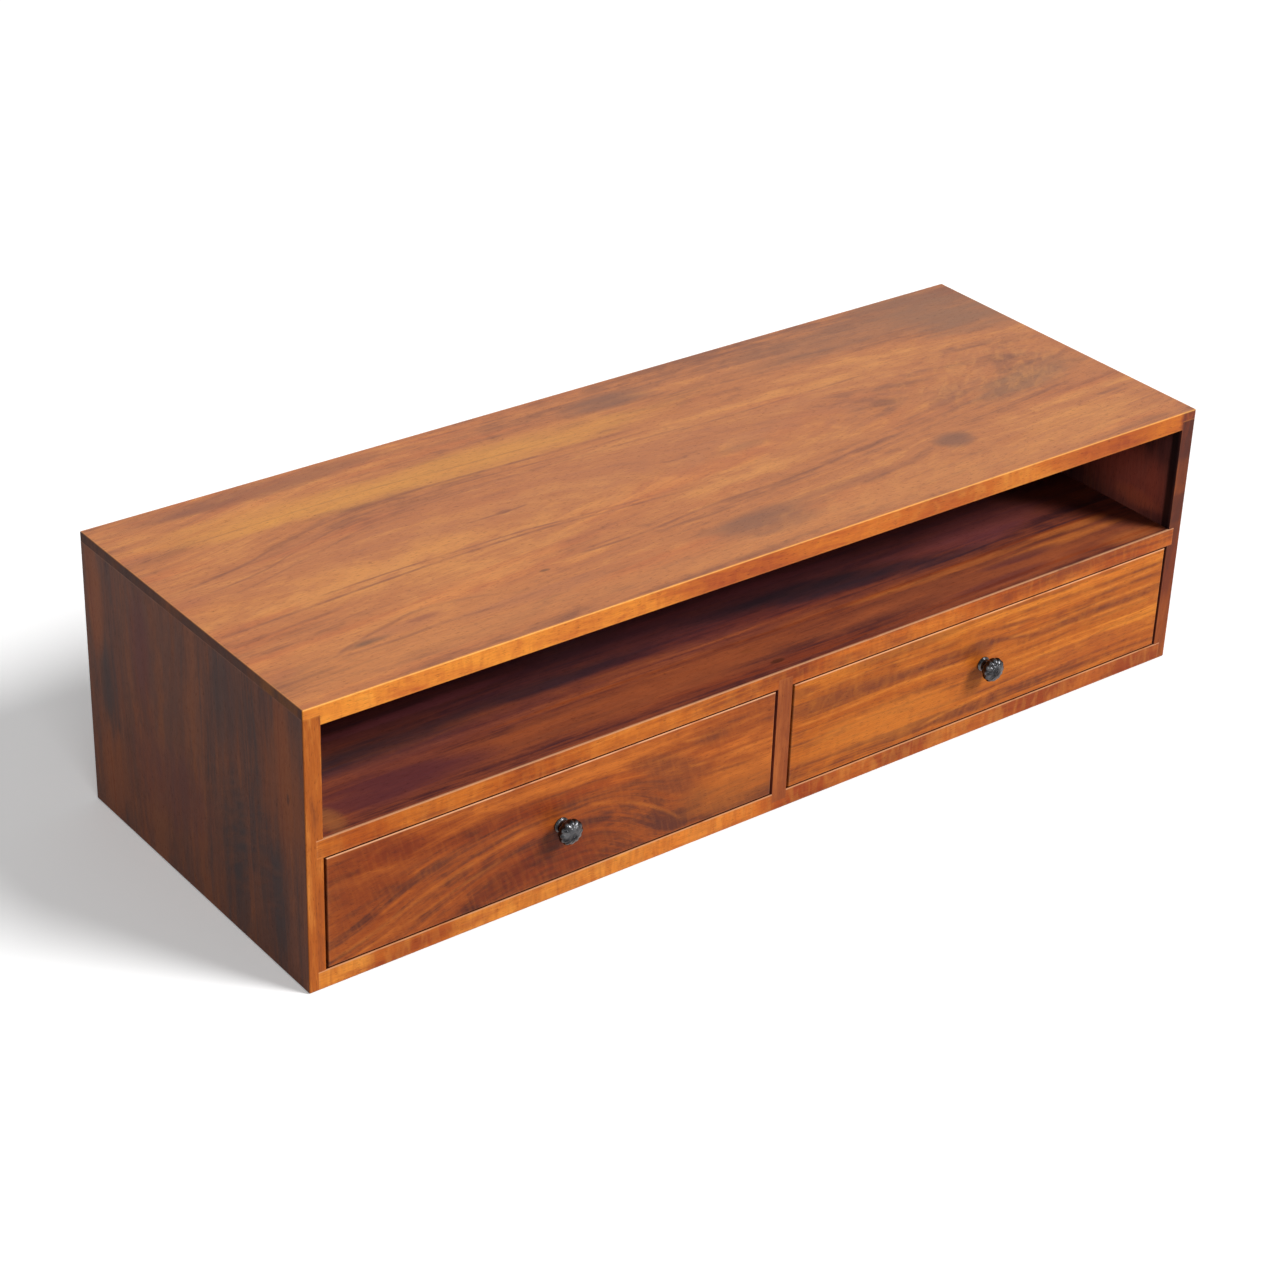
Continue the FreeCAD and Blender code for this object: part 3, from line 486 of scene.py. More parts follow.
        # The lighter arrises: partly wear, and partly a painted highlight that is strongest where
        # they face upwards.
        unnicked = s.step(nicks, *NICK_LEVELS, start=LEAST)
        edge = self.arrises() * unnicked * (self.wear_and_highlight_share() * 0.9 + 0.1)
        # Painted shade on the top face inside a narrow gap.
        if gap_shade_painted:
            painted_gap_shade = self.painted_gap_shade()
            colour = s.mix(painted_gap_shade, colour, PAINTED_GAP_SHADE_TINT, "MULTIPLY")
            edge = edge * (1.0 - painted_gap_shade)
        colour = s.mix(edge * wear_and_highlight, colour, light if rim is None else rim)

        rough = (hair - 0.5) * 0.16 + dashes * 0.12 - edge * 0.06 + self.dull + roughness
        height = fibre * 0.35 + hair * 0.5 - dashes * 0.7
        return s.finish(
            Base_Color=colour, Roughness=rough, IOR=IOR, Specular_IOR_Level=gloss,
            Normal=s.bump(height, BUMP_DISTANCE, BUMP_STRENGTH),
        )


def dress(node, material):
    """Gives a CAD node its material."""
    mesh = NODES[node].data
    mesh.materials.clear()
    mesh.materials.append(material)


# Width in mm, strength and points of each vein in the top.
TOP_VEINS = (
    (3.4, 0.75, [
        (-0.56, 0.037), (-0.464, 0.053), (-0.41, 0.070), (-0.32, 0.090), (-0.24, 0.096),
        (-0.13, 0.093), (0.05, 0.088),
    ]),
    (2.2, 0.55, [
        (-0.56, 0.018), (-0.46, 0.032), (-0.40, 0.052), (-0.31, 0.076), (-0.22, 0.084),
        (-0.08, 0.080), (0.06, 0.078),
    ]),
    (2.2, 0.4, [
        (-0.52, 0.004), (-0.45, 0.020), (-0.38, 0.040), (-0.28, 0.062), (-0.15, 0.069),
        (0.0, 0.066),
    ]),
    (2.0, 0.4, [(-0.50, 0.112), (-0.42, 0.120), (-0.30, 0.122), (-0.16, 0.116), (0.0, 0.110)]),
    (2.4, 0.4, [(-0.44, 0.044), (-0.30, 0.066), (-0.20, 0.071), (0.10, 0.062)]),
    (2.4, 0.6, [(0.05, 0.063), (0.16, 0.059), (0.32, 0.060)]),
    (2.8, 0.8, [
        (-0.56, -0.054), (-0.48, -0.050), (-0.35, -0.043), (-0.24, -0.039), (-0.10, -0.046),
        (0.02, -0.052),
    ]),
    (2.2, 0.7, [(-0.44, -0.036), (-0.24, -0.032), (-0.14, -0.038), (-0.02, -0.043)]),
    (3.2, 0.75, [
        (-0.20, -0.097), (-0.12, -0.099), (-0.01, -0.089), (0.09, -0.087), (0.19, -0.075),
        (0.25, -0.069),
    ]),
    (2.4, 0.5, [(-0.10, -0.106), (0.04, -0.097), (0.14, -0.092)]),
    (3.8, 0.6, [
        (-0.48, -0.137), (-0.44, -0.123), (-0.40, -0.113), (-0.368, -0.107), (-0.33, -0.111),
        (-0.28, -0.128),
    ]),
    (3.4, 0.55, [
        (-0.48, -0.138), (-0.42, -0.141), (-0.36, -0.138), (-0.30, -0.141), (-0.24, -0.137),
    ]),
    (2.4, 0.8, [(-0.24, 0.012), (-0.20, 0.009), (-0.16, 0.011)]),
    (2.6, 0.7, [(0.0, 0.014), (0.02, 0.008), (0.035, 0.011)]),
)


def top_board():
    """Golden wood with knots at the front left, and a grey weathered corner at the back right."""
    wood = Wood(
        "wood_top", "top_panel", "X", "Y", HONEY, 3.7, pith=(-0.005, 0.21), lean=(0.01, -0.07),
    )
    wood.swing(-0.26, -0.56, 0.055, still=0.0, full=0.08)
    for side in (-1, 1):
        wood.face("X", side, END_GRAIN, dull=0.4)
    wood.face("Z", -1, MAROON)
    wood.face("Y", -1, AMBER_EDGE, dull=0.25)
    wood.knot(-0.443, -0.132, 0.006)
    wood.knot(-0.229, -0.109, 0.004)
    wood.knot(-0.192, 0.010, 0.005, heart=0.5)
    wood.knot(0.286, -0.113, 0.014, pull=1.0, heart=0.4)

    golden, grey, tan = linear(218, 148, 60), linear(144, 94, 60), linear(210, 134, 68)
    smoke, brown, rose = linear(130, 80, 52), linear(134, 74, 44), linear(178, 106, 62)
    wood.smudges((
        (-0.10, 0.030, 0.90, 0.100, rose, 0.45),
        (-0.40, -0.150, 0.40, 0.090, tan, 0.5),
        (0.10, -0.170, 0.80, 0.050, tan, 0.45),
        (-0.17, 0.118, 0.56, 0.050, golden, 0.8),
        (-0.40, 0.130, 0.26, 0.045, golden, 0.6),
        (0.040, 0.156, 0.13, 0.034, smoke, 0.95),
        (-0.38, 0.180, 0.34, 0.030, brown, 0.65),
        (-0.44, 0.175, 0.10, 0.014, brown, 0.6),
        (0.49, 0.140, 0.18, 0.130, grey, 0.95, -0.3),
        (0.33, 0.150, 0.26, 0.080, grey, 0.5),
        (0.010, -0.145, 0.14, 0.050, smoke, 0.85),
        (0.14, -0.128, 0.18, 0.018, brown, 0.5),
        (-0.40, -0.126, 0.10, 0.020, rose, 0.6),
        (-0.438, -0.131, 0.056, 0.011, linear(116, 74, 48), 0.8, 0.0, 0.9),
        (-0.373, -0.121, 0.040, 0.009, linear(146, 78, 46), 0.7, 0.0, 0.9),
        (-0.27, -0.142, 0.20, 0.022, rose, 0.6),
        (0.286, -0.113, 0.046, 0.042, smoke, 0.8),
        (0.09, -0.006, 0.08, 0.016, smoke, 0.4),
        (0.45, -0.045, 0.18, 0.050, linear(146, 98, 60), 0.75, 0.15),
        (0.35, -0.030, 0.08, 0.030, brown, 0.5, 0.5),
    ))
    wood.smudges(
        [(-0.540, v, 0.050, 0.026, linear(176, 98, 54), 0.45) for v in (-0.136, 0.021, 0.121)],
        on=wood.facing("Z", 1),
    )
    for width, strength, points in TOP_VEINS:
        wood.vein(points, width, brown, strength)

    front = wood.facing("Y", -1)
    wood.tint(wood.ramp(-0.25, 0.15) * front, linear(224, 200, 172))
    wood.smudges((
        (-0.06, FRONT, 0.20, 0.10, linear(215, 185, 175), 0.8),
        (0.20, FRONT, 0.16, 0.10, linear(215, 180, 170), 0.8),
        (0.42, FRONT, 0.16, 0.10, linear(210, 175, 165), 0.8),
    ), on=front, mode="MULTIPLY")
    wood.tint(wood.ramp(0.526, 0.534) * front, linear(150, 120, 150))
    wood.ribbon(0.014, -0.8, 0.45, at=(0.42, 0.0, 0.30, 0.17), reach=0.018)
    wood.ribbon(0.020, -0.7, 0.30, at=(0.20, -0.17, 0.60, 0.08), reach=0.02)
    wood.ribbon(0.007, -0.7, 0.35, colour=linear(196, 96, 28), on=front)
    return wood.material(wear_and_highlight=0.5, figure=0.82, mottled=0.28)


def side_board(node, seed, outside):
    """The wood of a side board. outside is the side in X that its outer face looks to."""
    wood = Wood(
        f"wood_{node}", node, "Z", "Y", MAROON, seed,
        pith=(0.05, outside * 0.66), lean=(0.05, 0.02),
    )
    wood.face("X", outside, COCOA, dull=0.12)
    wood.face("Y", -1, STILE)
    return wood


def left_side_board():
    wood = side_board("left_side_panel", 1.3, -1)
    ink, umber, cherry = linear(60, 46, 46), linear(164, 92, 54), linear(112, 58, 54)
    wood.smudges((
        (0.085, -0.075, 0.22, 0.050, ink, 0.95),
        (0.245, -0.068, 0.12, 0.060, ink, 0.6),
        (0.152, 0.160, 0.10, 0.040, ink, 0.8),
        (0.090, -0.145, 0.18, 0.050, ink, 0.8),
        (0.100, 0.040, 0.10, 0.140, cherry, 0.5),
        (0.240, 0.178, 0.12, 0.036, umber, 0.9),
        (0.215, -0.165, 0.18, 0.070, umber, 0.85),
        (0.055, 0.150, 0.11, 0.060, umber, 0.75),
        (0.225, 0.090, 0.12, 0.040, cherry, 0.7),
    ), on=wood.facing("X", -1))
    wood.knot(0.195, -0.172, 0.004)
    wood.ribbon(0.012, 0.5, 0.25, at=(0.12, -0.10, 0.20, 0.20))
    return wood.material(figure=1.2, mottled=0.26, gloss=0.2)


def right_side_board():
    wood = side_board("right_side_panel", 6.6, 1)
    front = wood.facing("Y", -1)
    wood.tint(front, linear(212, 196, 196))
    wood.smudge(0.12, FRONT, 0.10, 0.10, linear(190, 160, 160), 0.9, on=front, mode="MULTIPLY")
    wood.tint(wood.ramp(0.238, 0.250) * front, linear(190, 170, 195))
    wood.tint(wood.ramp(0.205, 0.200) * wood.ramp(0.166, 0.172) * front, linear(205, 190, 200))
    inner = wood.facing("X", -1)
    wood.smudges((
        (0.200, -0.135, 0.090, 0.120, linear(190, 104, 88), 0.9, 0.0, 0.5),
        (0.180, -0.150, 0.022, 0.070, linear(206, 112, 84), 0.8),
        (0.205, -0.170, 0.050, 0.030, linear(186, 96, 78), 0.6),
    ), on=inner)
    # A dark stripe on the inner face, just behind the front.
    stripe = wood.shader.step(abs(wood.v + 0.193), 0.007, 0.003)
    wood.tint(stripe * inner, linear(120, 125, 130))
    wood.ribbon(0.012, 0.5, 0.25, at=(0.16, 0.05, 0.20, 0.20))
    return wood.material(figure=1.2, mottled=0.24, gloss=0.2)


def bottom_board():
    wood = Wood("wood_bottom", "bottom_panel", "X", "Y", ORANGE, 8.1, pith=(0.03, -0.09))
    wood.face("Y", -1, BOTTOM_EDGE)
    front = wood.facing("Y", -1)
    wood.tint(wood.ramp(-0.10, 0.05) * front, linear(214, 186, 182))
    stretches = (
        (-0.47, 0.05), (-0.42, 0.08), (0.03, 0.10), (0.17, 0.09), (0.36, 0.13), (0.50, 0.11),
    )
    wood.smudges(
        [(u, FRONT, length, 0.10, linear(196, 150, 140), 0.9) for u, length in stretches],
        on=front, mode="MULTIPLY",
    )
    wood.ribbon(0.006, 0.8, 0.42, colour=linear(168, 78, 32), on=front)
    wood.ribbon(0.009, -0.6, 0.2, on=front)
    return wood.material(wear_and_highlight=0.75, mottled=0.2, gloss=0.2, rim=BRIGHT_RIM, gap_shade_painted=True)


def shelf_board():
    wood = Wood("wood_shelf", "shelf_panel", "X", "Y", SHELF, 5.2, pith=(0.02, 0.05))
    wood.face("Y", -1, SHELF_EDGE)
    upper, front = wood.facing("Z", 1), wood.facing("Y", -1)
    wood.knot(0.003, -0.182, 0.004)
    wood.knot(-0.010, -0.150, 0.004)

    gold, rust, rose = linear(218, 126, 58), linear(176, 94, 54), linear(166, 90, 96)
    plum, ink, wine = linear(128, 74, 84), linear(58, 48, 58), linear(98, 50, 56)
    wood.smudges((
        (-0.16, -0.158, 0.60, 0.050, rust, 0.7),
        (0.34, -0.166, 0.56, 0.060, linear(188, 102, 60), 0.6),
        (0.0, 0.03, 1.50, 0.28, plum, 0.9, 0.0, 0.4),
        (-0.34, -0.058, 0.26, 0.014, rose, 0.7),
        (0.05, -0.050, 0.30, 0.014, rose, 0.6),
        (0.34, -0.080, 0.26, 0.060, rose, 0.5),
        (-0.41, -0.100, 0.24, 0.044, ink, 0.9),
        (-0.22, -0.092, 0.26, 0.024, ink, 0.6),
        (0.15, -0.092, 0.34, 0.040, ink, 0.9, -0.12),
        (-0.43, -0.160, 0.22, 0.050, wine, 0.9),
        (-0.36, -0.122, 0.36, 0.034, linear(116, 62, 60), 0.55),
        (0.42, -0.153, 0.20, 0.016, gold, 0.7, 0.0, 1.4),
        (0.45, -0.136, 0.14, 0.014, gold, 0.6, 0.0, 1.4),
        (0.49, -0.186, 0.10, 0.030, linear(196, 112, 56), 0.6),
        (0.44, -0.170, 0.16, 0.012, rust, 0.6, 0.0, 1.4),
        (0.30, -0.138, 0.24, 0.012, gold, 0.45, 0.0, 1.4),
        (0.18, -0.136, 0.10, 0.008, gold, 0.6),
        (0.355, -0.157, 0.12, 0.014, wine, 0.75),
        (0.30, -0.182, 0.16, 0.014, wine, 0.6),
        (-0.512, -0.178, 0.030, 0.050, linear(176, 112, 62), 0.6),
    ), on=upper)
    # Painted shadow of the right side board on the shelf: a darker right end, which begins farther
    # left at the back.
    corner = wood.shader.step(wood.u + (wood.v + 0.20) * 0.61, 0.505, 0.545)
    wood.tint(corner * upper, linear(170, 160, 165))
    stretches = ((-0.49, 0.08), (-0.30, 0.14), (0.02, 0.10), (0.30, 0.16), (0.47, 0.12))
    wood.smudges(
        [(u, FRONT, length, 0.10, linear(212, 176, 165), 0.8) for u, length in stretches],
        on=front, mode="MULTIPLY",
    )
    wood.ribbon(0.007, 0.7, 0.28, colour=linear(160, 78, 30), on=front)
    wood.ribbon(0.010, -0.5, 0.15, on=front)
    return wood.material(wear_and_highlight=0.7, figure=1.3, mottled=0.24, gloss=0.2, rim=BRIGHT_RIM, run=0.7)


def divider_board():
    wood = Wood("wood_divider", "center_divider", "Z", "Y", MAROON, 2.4, pith=(0.05, 0.12))
    wood.face("Y", -1, DIVIDER)
    return wood.material(mottled=0.26, gloss=0.2)


def back_board():
    wood = Wood("wood_back", "back_panel", "X", "Z", BACK, 9.2, pith=(0.15, 0.4))
    wood.face("Y", 1, BACK_OUTSIDE)
    return wood.material(wear_and_highlight=0.0, figure=1.4, gloss=0.3, run=0.7)


def dress_case():
    dress("top_panel", top_board())
    dress("left_side_panel", left_side_board())
    dress("right_side_panel", right_side_board())
    dress("bottom_panel", bottom_board())
    dress("shelf_panel", shelf_board())
    dress("center_divider", divider_board())
    dress("back_panel", back_board())
    for index, node in enumerate(("upper_hanging_rail", "lower_hanging_rail")):
        wood = Wood(f"wood_{node}", node, "X", "Z", RUST, 4.0 + index, pith=(0.1 + index, 0.3))
        dress(node, wood.material(gloss=0.3))


def left_drawer_front():
    """Grain like a hill behind the knob, which falls away steeply under its flat top lines."""
    wood = Wood(
        "wood_left_drawer_front", "left_drawer_front", "X", "Z", RUST, 1.9, pith=(-0.25, -0.1),
    )
    wood.swing(-0.28, -0.56, 0.066, still=0.160, full=0.020)
    wood.swing(-0.25, -0.12, 0.046, still=0.145, full=0.025)
    dark, glow, shade = linear(84, 42, 32), linear(214, 124, 48), linear(196, 160, 150)
    wood.smudges((
        (-0.275, 0.044, 0.20, 0.070, shade, 0.9),
        (-0.36, 0.030, 0.20, 0.030, shade, 0.7, 0.35),
        (-0.46, 0.122, 0.20, 0.036, shade, 1.0),
        (-0.36, 0.108, 0.26, 0.024, shade, 0.7),
        (-0.49, 0.080, 0.10, 0.060, shade, 0.7),
    ), mode="MULTIPLY")
    wood.smudges((
        (-0.140, 0.100, 0.10, 0.030, dark, 0.55, -0.35),
        (-0.130, 0.072, 0.09, 0.030, dark, 0.45, -0.5),
        (-0.090, 0.116, 0.05, 0.018, dark, 0.4),
        (-0.06, 0.050, 0.14, 0.060, glow, 0.4),
    ))
    for width, colour, strength, points in (
        (4.5, glow, 0.45, [
            (-0.53, 0.026), (-0.47, 0.044), (-0.42, 0.062), (-0.35, 0.080), (-0.29, 0.090),
        ]),
        (3.5, glow, 0.4, [(-0.50, 0.024), (-0.44, 0.038), (-0.38, 0.056), (-0.33, 0.068)]),
        (3.0, dark, 0.45, [(-0.53, 0.040), (-0.46, 0.060), (-0.39, 0.078), (-0.30, 0.096)]),
        (2.6, dark, 0.5, [(-0.54, 0.066), (-0.46, 0.080), (-0.38, 0.093), (-0.28, 0.103)]),
        (3.0, dark, 0.5, [(-0.45, 0.026), (-0.40, 0.044), (-0.34, 0.064), (-0.29, 0.078)]),
        (4.0, glow, 0.35, [(-0.24, 0.092), (-0.20, 0.080), (-0.16, 0.060), (-0.12, 0.030)]),
        (3.0, dark, 0.5, [(-0.23, 0.080), (-0.19, 0.064), (-0.16, 0.046), (-0.14, 0.028)]),
        (3.0, dark, 0.4, [(-0.22, 0.104), (-0.17, 0.092), (-0.12, 0.078), (-0.03, 0.070)]),
        (3.0, glow, 0.5, [(-0.13, 0.126), (-0.08, 0.120), (-0.02, 0.122)]),
        (3.0, glow, 0.5, [(-0.12, 0.094), (-0.07, 0.088), (-0.02, 0.092)]),
    ):
        wood.vein(points, width, colour, strength)
    wood.ribbon(0.005, 0.3, 0.12, reach=0.025)
    return wood.material(
        wear_and_highlight=0.75, figure=0.95, mottled=0.26, gloss=0.2, rim=BRIGHT_RIM, gap_shade_painted=True,
    )


def right_drawer_front():
    """Golden wood whose upper half has long dark waves."""
    wood = Wood(
        "wood_right_drawer_front", "right_drawer_front", "X", "Z", ORANGE, 4.9,
        pith=(-0.35, -0.1), sway=0.010, waves=6.5,
    )
    dark, gold = linear(112, 52, 30), linear(232, 142, 54)
    wood.smudges((
        (0.08, 0.106, 0.18, 0.026, dark, 0.75, 0.0, 0.6),
        (0.20, 0.102, 0.18, 0.018, dark, 0.6, 0.0, 0.6),
        (0.02, 0.128, 0.06, 0.014, dark, 0.6),
        (0.16, 0.134, 0.20, 0.012, dark, 0.5),
        (0.262, 0.100, 0.05, 0.022, dark, 0.7),
        (0.14, 0.055, 0.24, 0.050, gold, 0.45),
        (0.42, 0.050, 0.20, 0.030, linear(176, 90, 40), 0.45),
    ))
    for width, colour, strength, points in (
        (5.0, dark, 0.75, [
            (0.25, 0.108), (0.31, 0.100), (0.37, 0.091), (0.43, 0.094), (0.53, 0.092),
        ]),
        (4.0, dark, 0.65, [
            (0.28, 0.117), (0.33, 0.114), (0.39, 0.108), (0.45, 0.112), (0.54, 0.110),
        ]),
        (3.4, dark, 0.55, [(0.31, 0.127), (0.37, 0.125), (0.44, 0.123), (0.54, 0.128)]),
        (3.0, dark, 0.5, [(0.22, 0.134), (0.31, 0.137), (0.40, 0.134), (0.50, 0.138)]),
        (3.0, dark, 0.45, [(0.30, 0.082), (0.37, 0.079), (0.44, 0.084), (0.54, 0.078)]),
        (2.6, dark, 0.35, [(0.34, 0.064), (0.41, 0.061), (0.47, 0.066), (0.54, 0.062)]),
        (3.0, gold, 0.6, [(0.29, 0.121), (0.36, 0.118), (0.43, 0.117), (0.53, 0.119)]),
        (3.0, gold, 0.6, [(0.30, 0.104), (0.37, 0.098), (0.43, 0.102), (0.53, 0.100)]),
        (3.0, gold, 0.5, [(0.27, 0.091), (0.34, 0.086), (0.42, 0.088), (0.53, 0.086)]),
        (2.6, gold, 0.5, [(0.02, 0.119), (0.10, 0.124), (0.17, 0.121), (0.24, 0.124)]),
        (2.6, gold, 0.6, [(0.01, 0.093), (0.08, 0.090), (0.16, 0.094), (0.25, 0.090)]),
        (3.0, gold, 0.5, [(0.18, 0.032), (0.24, 0.040), (0.31, 0.046), (0.38, 0.048)]),
        (2.4, dark, 0.35, [(0.16, 0.026), (0.24, 0.034), (0.33, 0.038), (0.44, 0.036)]),
    ):
        wood.vein(points, width, colour, strength)
    wood.ribbon(0.009, 0.2, 0.10, at=(0.13, 0.11, 0.30, 0.09))
    wood.ribbon(0.012, -0.3, 0.15, reach=0.02)
    return wood.material(
        wear_and_highlight=0.7, figure=1.1, mottled=0.24, gloss=0.2, rim=BRIGHT_RIM, run=0.45, gap_shade_painted=True,
    )


def dress_drawers():
    dress("left_drawer_front", left_drawer_front())
    dress("right_drawer_front", right_drawer_front())
    for index, drawer in enumerate(("left_drawer", "right_drawer")):
        for part, grain, across in (
            ("left_side", "Y", "Z"), ("right_side", "Y", "Z"),
            ("back", "X", "Z"), ("bottom", "X", "Y"),
        ):
            name, seed = f"{drawer}_{part}", 2.2 + index + len(part)
            wood = Wood(f"wood_{name}", name, grain, across, PALE, seed, pith=(0.3, 0.4))
            dress(name, wood.material(wear_and_highlight=0.2, figure=0.8, roughness=0.55, gloss=0.3))
        for side in ("left", "right"):
            name = f"{drawer}_{side}_runner"
            wood = Wood(f"wood_{name}", name, "Y", "Z", PALE, 7.7 + index, pith=(0.3, 0.6))
            dress(name, wood.material(wear_and_highlight=0.3, figure=0.6, roughness=0.5, gloss=0.3))


# ---------------------------------------------------------------------------------------------
# Metal
# ---------------------------------------------------------------------------------------------

# The knob, in mm and degrees. Distances run forwards from the face of the drawer.
KNOB_STEM = (
    (9.0, 0.0), (9.0, 1.8), (0.0, 1.8), (0.0, 7.7), (0.3, 8.0), (1.3, 8.0), (1.6, 7.7),
    (1.9, 7.0), (2.6, 6.3), (4.0, 5.9), (5.4, 6.0), (6.4, 6.5), (7.0, 7.2),
)
KNOB_BUTTON = ((22.35, 2.5), (22.3, 2.1), (22.6, 1.7), (22.75, 0.9), (22.8, 0.0))
KNOB_RADIUS, KNOB_WIDEST = 13.5, 15.4
KNOB_REAR, KNOB_REAR_ANGLE = 8.7, 58
KNOB_FRONT, KNOB_FRONT_ANGLE = 7.3, 78
KNOB_CURVE_STEPS = 12
KNOB_LOBES, KNOB_STEPS = 12, 144

FLUTE_DEPTH = 0.13  # share of the radius
FLUTE_REAR, FLUTE_FRONT = 0.35, 0.2  # what is left of that depth at the knob's rear and front
FLUTE_POWER = 0.75  # less than 1 makes the lobes flatter and the flutes narrower


def metal(name, dark, light, roughness):
    s = Shader(name)
    x, y, z = s.place()
    cloud = s.noise(s.point(x * 160, y * 160, z * 160), detail=4.0)
    grit = s.noise(s.point(x * 2400, y * 2400, z * 2400), detail=2.0)
    colour = s.mix(s.step(cloud, 0.35, 0.7), dark, light)
    rough = cloud * 0.2 + (roughness - 0.1)
    return s.finish(
        Base_Color=colour, Metallic=1.0, Roughness=rough, Normal=s.bump(grit, 0.00002, 0.5),
    )


def knob_profile():
    """Distance and radius in mm and the share of the flutes' depth, from the screw hole on."""
    points = [(distance, radius, 0) for distance, radius in KNOB_STEM]
    shares = [step / KNOB_CURVE_STEPS for step in range(1, KNOB_CURVE_STEPS + 1)]
    for share in shares:
        angle = math.radians(KNOB_REAR_ANGLE * (1 - share))
        distance = KNOB_WIDEST - KNOB_REAR * math.sin(angle)
        sink = FLUTE_REAR + (1 - FLUTE_REAR) * share
        points.append((distance, KNOB_RADIUS * math.cos(angle), sink))
    full = math.sin(math.radians(KNOB_FRONT_ANGLE))
    for share in shares:
        angle = math.radians(KNOB_FRONT_ANGLE * share)
        distance = KNOB_WIDEST + KNOB_FRONT * math.sin(angle) / full
        sink = 1 - (1 - FLUTE_FRONT) * share ** 3
        points.append((distance, KNOB_RADIUS * math.cos(angle), sink))
    return points + [(distance, radius, 0) for distance, radius in KNOB_BUTTON]


def knob_mesh(name, back, middle_x, middle_z):
    """The knob turned from its profile, with its flutes. back is where it meets the drawer."""
    shape = bmesh.new()
    rings = []
    for distance, radius, sink in knob_profile():
        y = back - distance / 1000
        if radius == 0:
            rings.append([shape.verts.new((middle_x, y, middle_z))])
            continue
        ring = []
        for step in range(KNOB_STEPS):
            angle = 2 * math.pi * step / KNOB_STEPS
            crest = abs(math.cos(angle * KNOB_LOBES / 2)) ** FLUTE_POWER
            reach = radius / 1000 * (1 - FLUTE_DEPTH * sink * (1 - crest))
            x, z = middle_x + reach * math.sin(angle), middle_z + reach * math.cos(angle)
            ring.append(shape.verts.new((x, y, z)))
        rings.append(ring)
    for near, far in zip(rings, rings[1:]):
        for step in range(KNOB_STEPS):
            after = (step + 1) % KNOB_STEPS
            corners = [
                near[step % len(near)], near[after % len(near)],
                far[after % len(far)], far[step % len(far)],
            ]
            shape.faces.new(dict.fromkeys(corners))
    bmesh.ops.recalc_face_normals(shape, faces=shape.faces)
    for face in shape.faces:
        face.smooth = True
    mesh = bpy.data.meshes.new(name)
    shape.to_mesh(mesh)
    shape.free()
    return mesh


def make_knob(drawer, material):
    """A pewter knob, a melon with rounded lobes on a waisted stem, with a small button in front."""
    low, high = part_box(f"{drawer}_knob")
    middle_x, middle_z = (low.x + high.x) / 2, (low.z + high.z) / 2
    mesh = knob_mesh(f"{drawer}_fluted_knob", high.y, middle_x, middle_z)
    knob = bpy.data.objects.new(f"{drawer}_fluted_knob", mesh)
    bpy.context.scene.collection.objects.link(knob)
    mesh.materials.append(material)
    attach(knob, drawer)
    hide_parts(f"{drawer}_knob")


def dress_metal():
    steel = metal("zinc_plated_steel", linear(150, 148, 140), linear(196, 194, 186), 0.36)
    pewter = metal("dark_pewter", linear(40, 40, 42), linear(94, 94, 96), 0.2)
    for drawer in ("left_drawer", "right_drawer"):
        make_knob(drawer, pewter)
        dress(f"{drawer}_knob_screw", steel)
        for side in ("left", "right"):
            dress(f"{drawer}_{side}_runner_screws", steel)


# ---------------------------------------------------------------------------------------------
# Floor, light and camera
# ---------------------------------------------------------------------------------------------

FLOOR_SIZE, FLOOR_DROP = 30.0, 0.0005
FLOOR_GLOW = 0.20
AMBIENT = 0.27


def make_floor():
    """A floor that the camera sees white, and that throws back less light than that."""
    mesh = bpy.data.meshes.new("studio_floor")
    shape = bmesh.new()
    bmesh.ops.create_grid(shape, x_segments=2, y_segments=2, size=FLOOR_SIZE)
    shape.to_mesh(mesh)
    shape.free()
    floor = bpy.data.objects.new("studio_floor", mesh)
    floor.location.z = -FLOOR_DROP
    bpy.context.scene.collection.objects.link(floor)
    s = Shader("studio_floor")
    shown = s.shown_share()
    colour = s.mix(shown, linear(128, 126, 124), WHITE)
    mesh.materials.append(s.finish(
        Base_Color=colour, Roughness=0.9, Specular_IOR_Level=0.0,
        Emission_Color=WHITE, Emission_Strength=shown * FLOOR_GLOW,
    ))


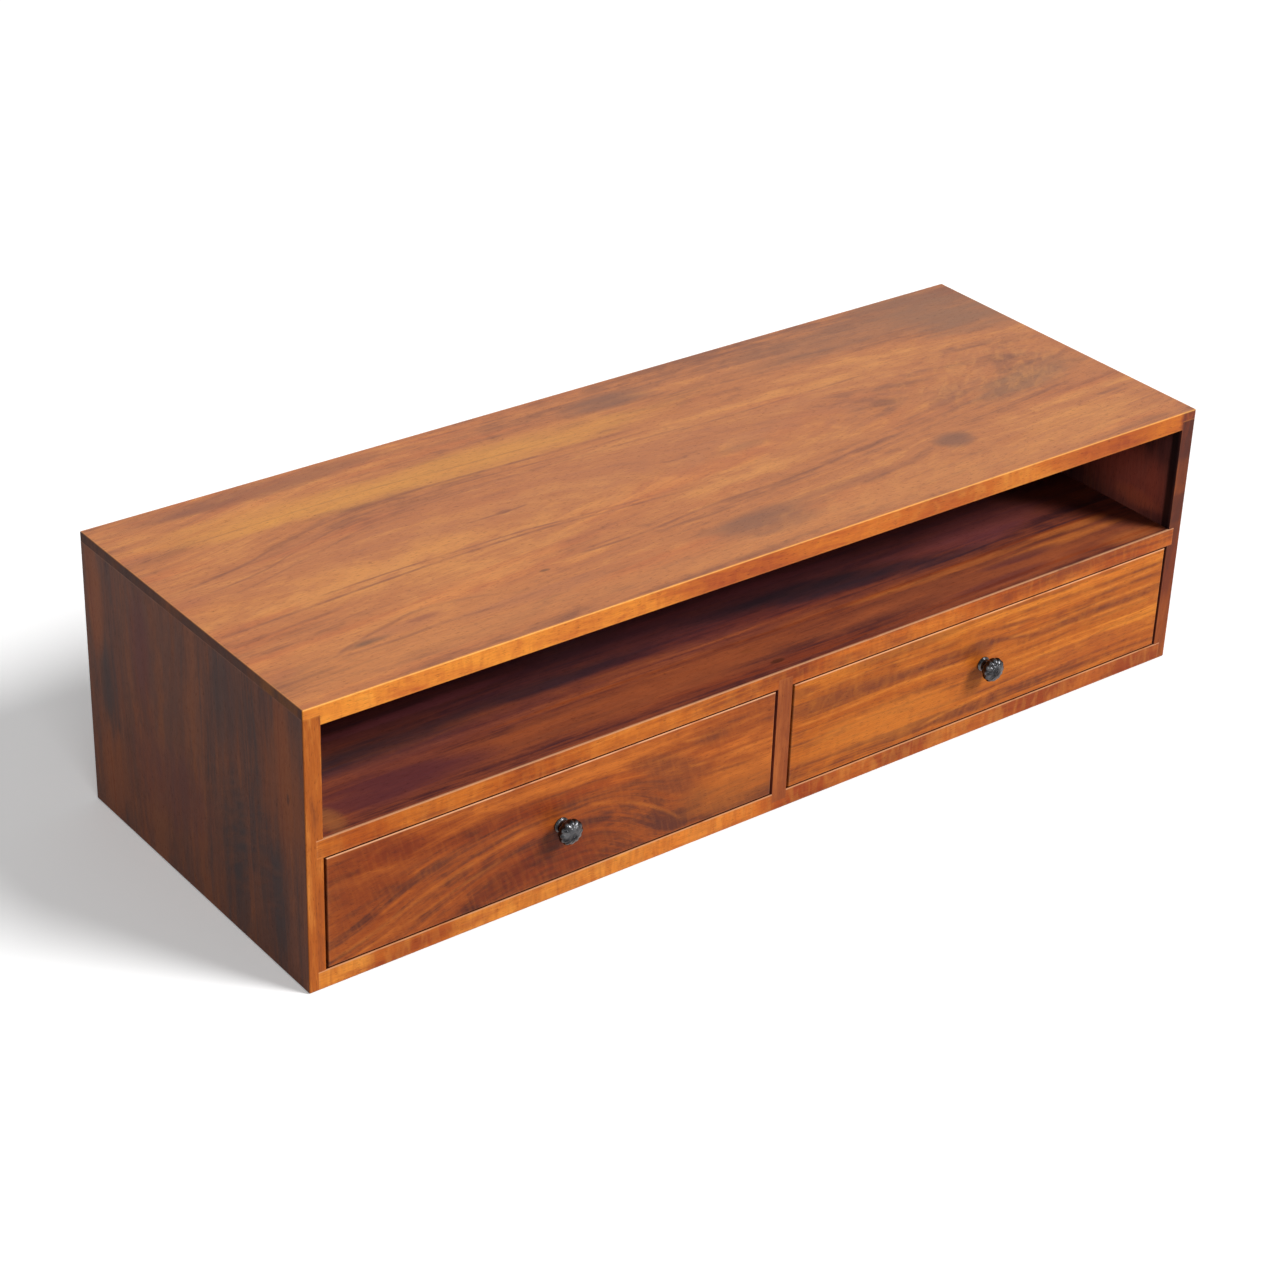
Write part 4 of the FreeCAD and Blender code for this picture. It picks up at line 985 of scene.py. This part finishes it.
def make_world():
    """A world that the camera sees white, and that lights the object less than that."""
    world = bpy.data.worlds.new("studio")
    bpy.context.scene.world = world
    g = Graph(world)
    out = g.node("ShaderNodeOutputWorld")
    background = g.node("ShaderNodeBackground", {"Color": WHITE})
    g.tree.links.new(background.outputs[0], out.inputs[0])
    inputs = {"Value": g.shown_share(), "To Min": AMBIENT, "To Max": 1.0}
    level = g.node("ShaderNodeMapRange", inputs)
    g.feed(background.inputs["Strength"], Number(g, level.outputs[0]))


def make_sun(name, towards, strength, softness):
    """A soft distant lamp. towards is the direction from the object to the lamp."""
    lamp = bpy.data.lights.new(name, "SUN")
    lamp.energy = strength
    lamp.angle = math.radians(softness)
    sun = bpy.data.objects.new(name, lamp)
    sun.rotation_euler = Vector(towards).to_track_quat("Z", "Y").to_euler()
    bpy.context.scene.collection.objects.link(sun)


def make_softbox(name, place, aim, size, power):
    """A square area lamp at a place, turned towards another."""
    lamp = bpy.data.lights.new(name, "AREA")
    lamp.size = size
    lamp.energy = power
    box = bpy.data.objects.new(name, lamp)
    box.location = place
    box.rotation_euler = (Vector(place) - Vector(aim)).to_track_quat("Z", "Y").to_euler()
    bpy.context.scene.collection.objects.link(box)


def make_camera():
    """The camera that was fitted to the photograph."""
    camera = bpy.data.cameras.new("photo_camera")
    camera.lens = 85.41
    camera.sensor_width = 36.0
    camera.clip_end = 100.0
    stand = bpy.data.objects.new("photo_camera", camera)
    stand.location = (-1.7031, -2.1303, 1.6512)
    stand.rotation_euler = [math.radians(angle) for angle in (60.346, -1.836, -37.158)]
    bpy.context.scene.collection.objects.link(stand)
    bpy.context.scene.camera = stand


def make_studio():
    make_floor()
    make_world()
    make_sun("key_lamp", towards=(0.50, -0.66, 0.70), strength=2.9, softness=20)
    make_softbox("fill_softbox", (-1.2, -2.2, 2.3), aim=(0.0, -0.2, 0.15), size=0.9, power=13)
    make_softbox("low_softbox", (1.9, -2.9, 0.62), aim=(0.0, -0.2, 0.12), size=0.3, power=12)
    make_camera()
    bpy.context.scene.view_settings.view_transform = "Standard"


dress_case()
dress_drawers()
dress_metal()
make_studio()
